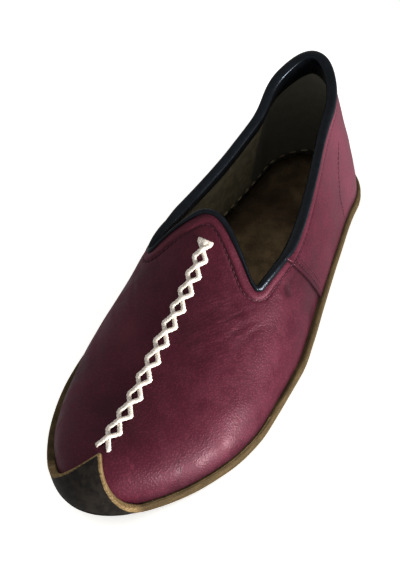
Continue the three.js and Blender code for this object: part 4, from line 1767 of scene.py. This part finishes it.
@dataclass(frozen=True)
class Studio:
    """Pale floor, soft lights and the camera at the photograph's angle."""

    aim: tuple[float, float, float] = (-6.15, -6.3, 33.4)
    azimuth: float = 38.71
    elevation: float = 48.35
    roll: float = -11.25
    distance: float = 564.7
    lens: float = 68.7
    sensor: float = 36.0
    floor_size: float = 6.0
    floor_tone: str = "#f4f3f1"
    floor_glow: float = 0.6
    floor_shine: float = 0.1
    floor_drop: float = 0.2
    contrast: float = 0.8
    ambient: float = 0.52
    lamps: tuple[Lamp, ...] = (
        Lamp("key_light", (1.03, -0.24, 0.04), 0.34, 36.0),
        Lamp("top_light", (-0.35, 0.1, 1.25), 1.0, 0.8, glossy=False),
        Lamp("fill_light", (-0.9, -0.1, 0.4), 0.8, 1.7, glossy=False),
    )

    def build(self) -> None:
        """Sets up floor, lights, world and camera."""
        self.build_floor()
        for lamp in self.lamps:
            self.build_lamp(lamp)
        world = bpy.data.worlds.new("studio_air")
        world.use_nodes = True
        air = world.node_tree.nodes["Background"]
        air.inputs["Color"].default_value = (1.0, 1.0, 1.0, 1.0)
        air.inputs["Strength"].default_value = self.ambient
        bpy.context.scene.world = world
        view = bpy.context.scene.view_settings
        view.view_transform = "Standard"
        view.gamma = self.contrast
        self.build_camera()

    def build_floor(self) -> None:
        """Lays the floor just below the sole."""
        bm = bmesh.new()
        bmesh.ops.create_grid(bm, x_segments=1, y_segments=1, size=self.floor_size / 2)
        bmesh.ops.translate(bm, verts=bm.verts[:], vec=(0, 0, -self.floor_drop * MM))
        mesh = bpy.data.meshes.new("floor")
        bm.to_mesh(mesh)
        bm.free()
        floor = bpy.data.objects.new("floor", mesh)
        bpy.context.scene.collection.objects.link(floor)
        material, shade, where = new_material("pale_floor")
        tone = colour(self.floor_tone)
        speckle = shade.span(shade.noise(where, 9.0), 0.2, 0.8, (0.86, 0.92))
        shader = shade.finish(tone, speckle, None, self.floor_shine)
        shade.feed(shader, {"Emission Color": tone, "Emission Strength": self.floor_glow})
        floor.data.materials.append(material)
        floor.visible_diffuse = False
        floor.visible_glossy = False

    def build_lamp(self, lamp: Lamp) -> None:
        """Hangs one light."""
        data = bpy.data.lights.new(lamp.name, "AREA")
        data.shape = "DISK"
        data.size = lamp.size
        data.energy = lamp.power
        light = bpy.data.objects.new(lamp.name, data)
        light.visible_glossy = lamp.glossy
        light.location = lamp.place
        light.rotation_mode = "QUATERNION"
        light.rotation_quaternion = (-Vector(lamp.place)).to_track_quat("-Z", "Y")
        bpy.context.scene.collection.objects.link(light)

    def build_camera(self) -> None:
        """Places the camera at the photograph's angle to the shoe."""
        around, above, turn = (math.radians(value) for value in (self.azimuth, self.elevation, self.roll))
        level = Vector((math.cos(around), math.sin(around), 0))
        flat = math.cos(above)
        back = Vector((math.sin(around) * flat, -math.cos(around) * flat, math.sin(above)))
        upright = back.cross(level)
        right = level * math.cos(turn) + upright * math.sin(turn)
        up = upright * math.cos(turn) - level * math.sin(turn)
        data = bpy.data.cameras.new("camera")
        data.lens = self.lens
        data.sensor_width = self.sensor
        camera = bpy.data.objects.new("camera", data)
        eye = (Vector(self.aim) + back * self.distance) * MM
        camera.matrix_world = Matrix.Translation(eye) @ Matrix((right, up, back)).transposed().to_4x4()
        bpy.context.scene.collection.objects.link(camera)
        bpy.context.scene.camera = camera


def frame_offset(last: Last, ledge: float) -> np.ndarray:
    """Move from the shoe's own sizes into the part's frame.

    Args:
        last: Form of the foot.
        ledge: How far the sole stands out beside the upper.

    Returns:
        The move, in millimetres.
    """
    low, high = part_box("outsole")
    u = np.linspace(0, last.length, 2001)
    outer = (last.middle(u) + last.half_width(u, Side.OUTER.value)).max()
    return np.array([high.x / MM - ledge - outer, high.y / MM - ledge, low.z / MM])


def main() -> None:
    """Builds the shoe's pieces in order, then the studio."""
    logging.basicConfig(level=logging.INFO, format="%(message)s")
    for thing in list(bpy.data.objects):
        bpy.data.objects.remove(thing)
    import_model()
    last = Last()
    ribs = Ribs(last, Collar())
    bench = Bench(frame_offset(last, Outsole.ledge))
    Effects().build()
    upper = Upper(bench, ribs)
    insole = Insole(bench, ribs)
    Outsole(bench, ribs).build()
    insole.build()
    upper.build()
    CollarBinding(bench, ribs, upper).build()
    SewnRows(bench, ribs, upper, insole).build()
    CrossStitch(bench, last).build()
    Studio().build()


if __name__ == "__main__":
    main()
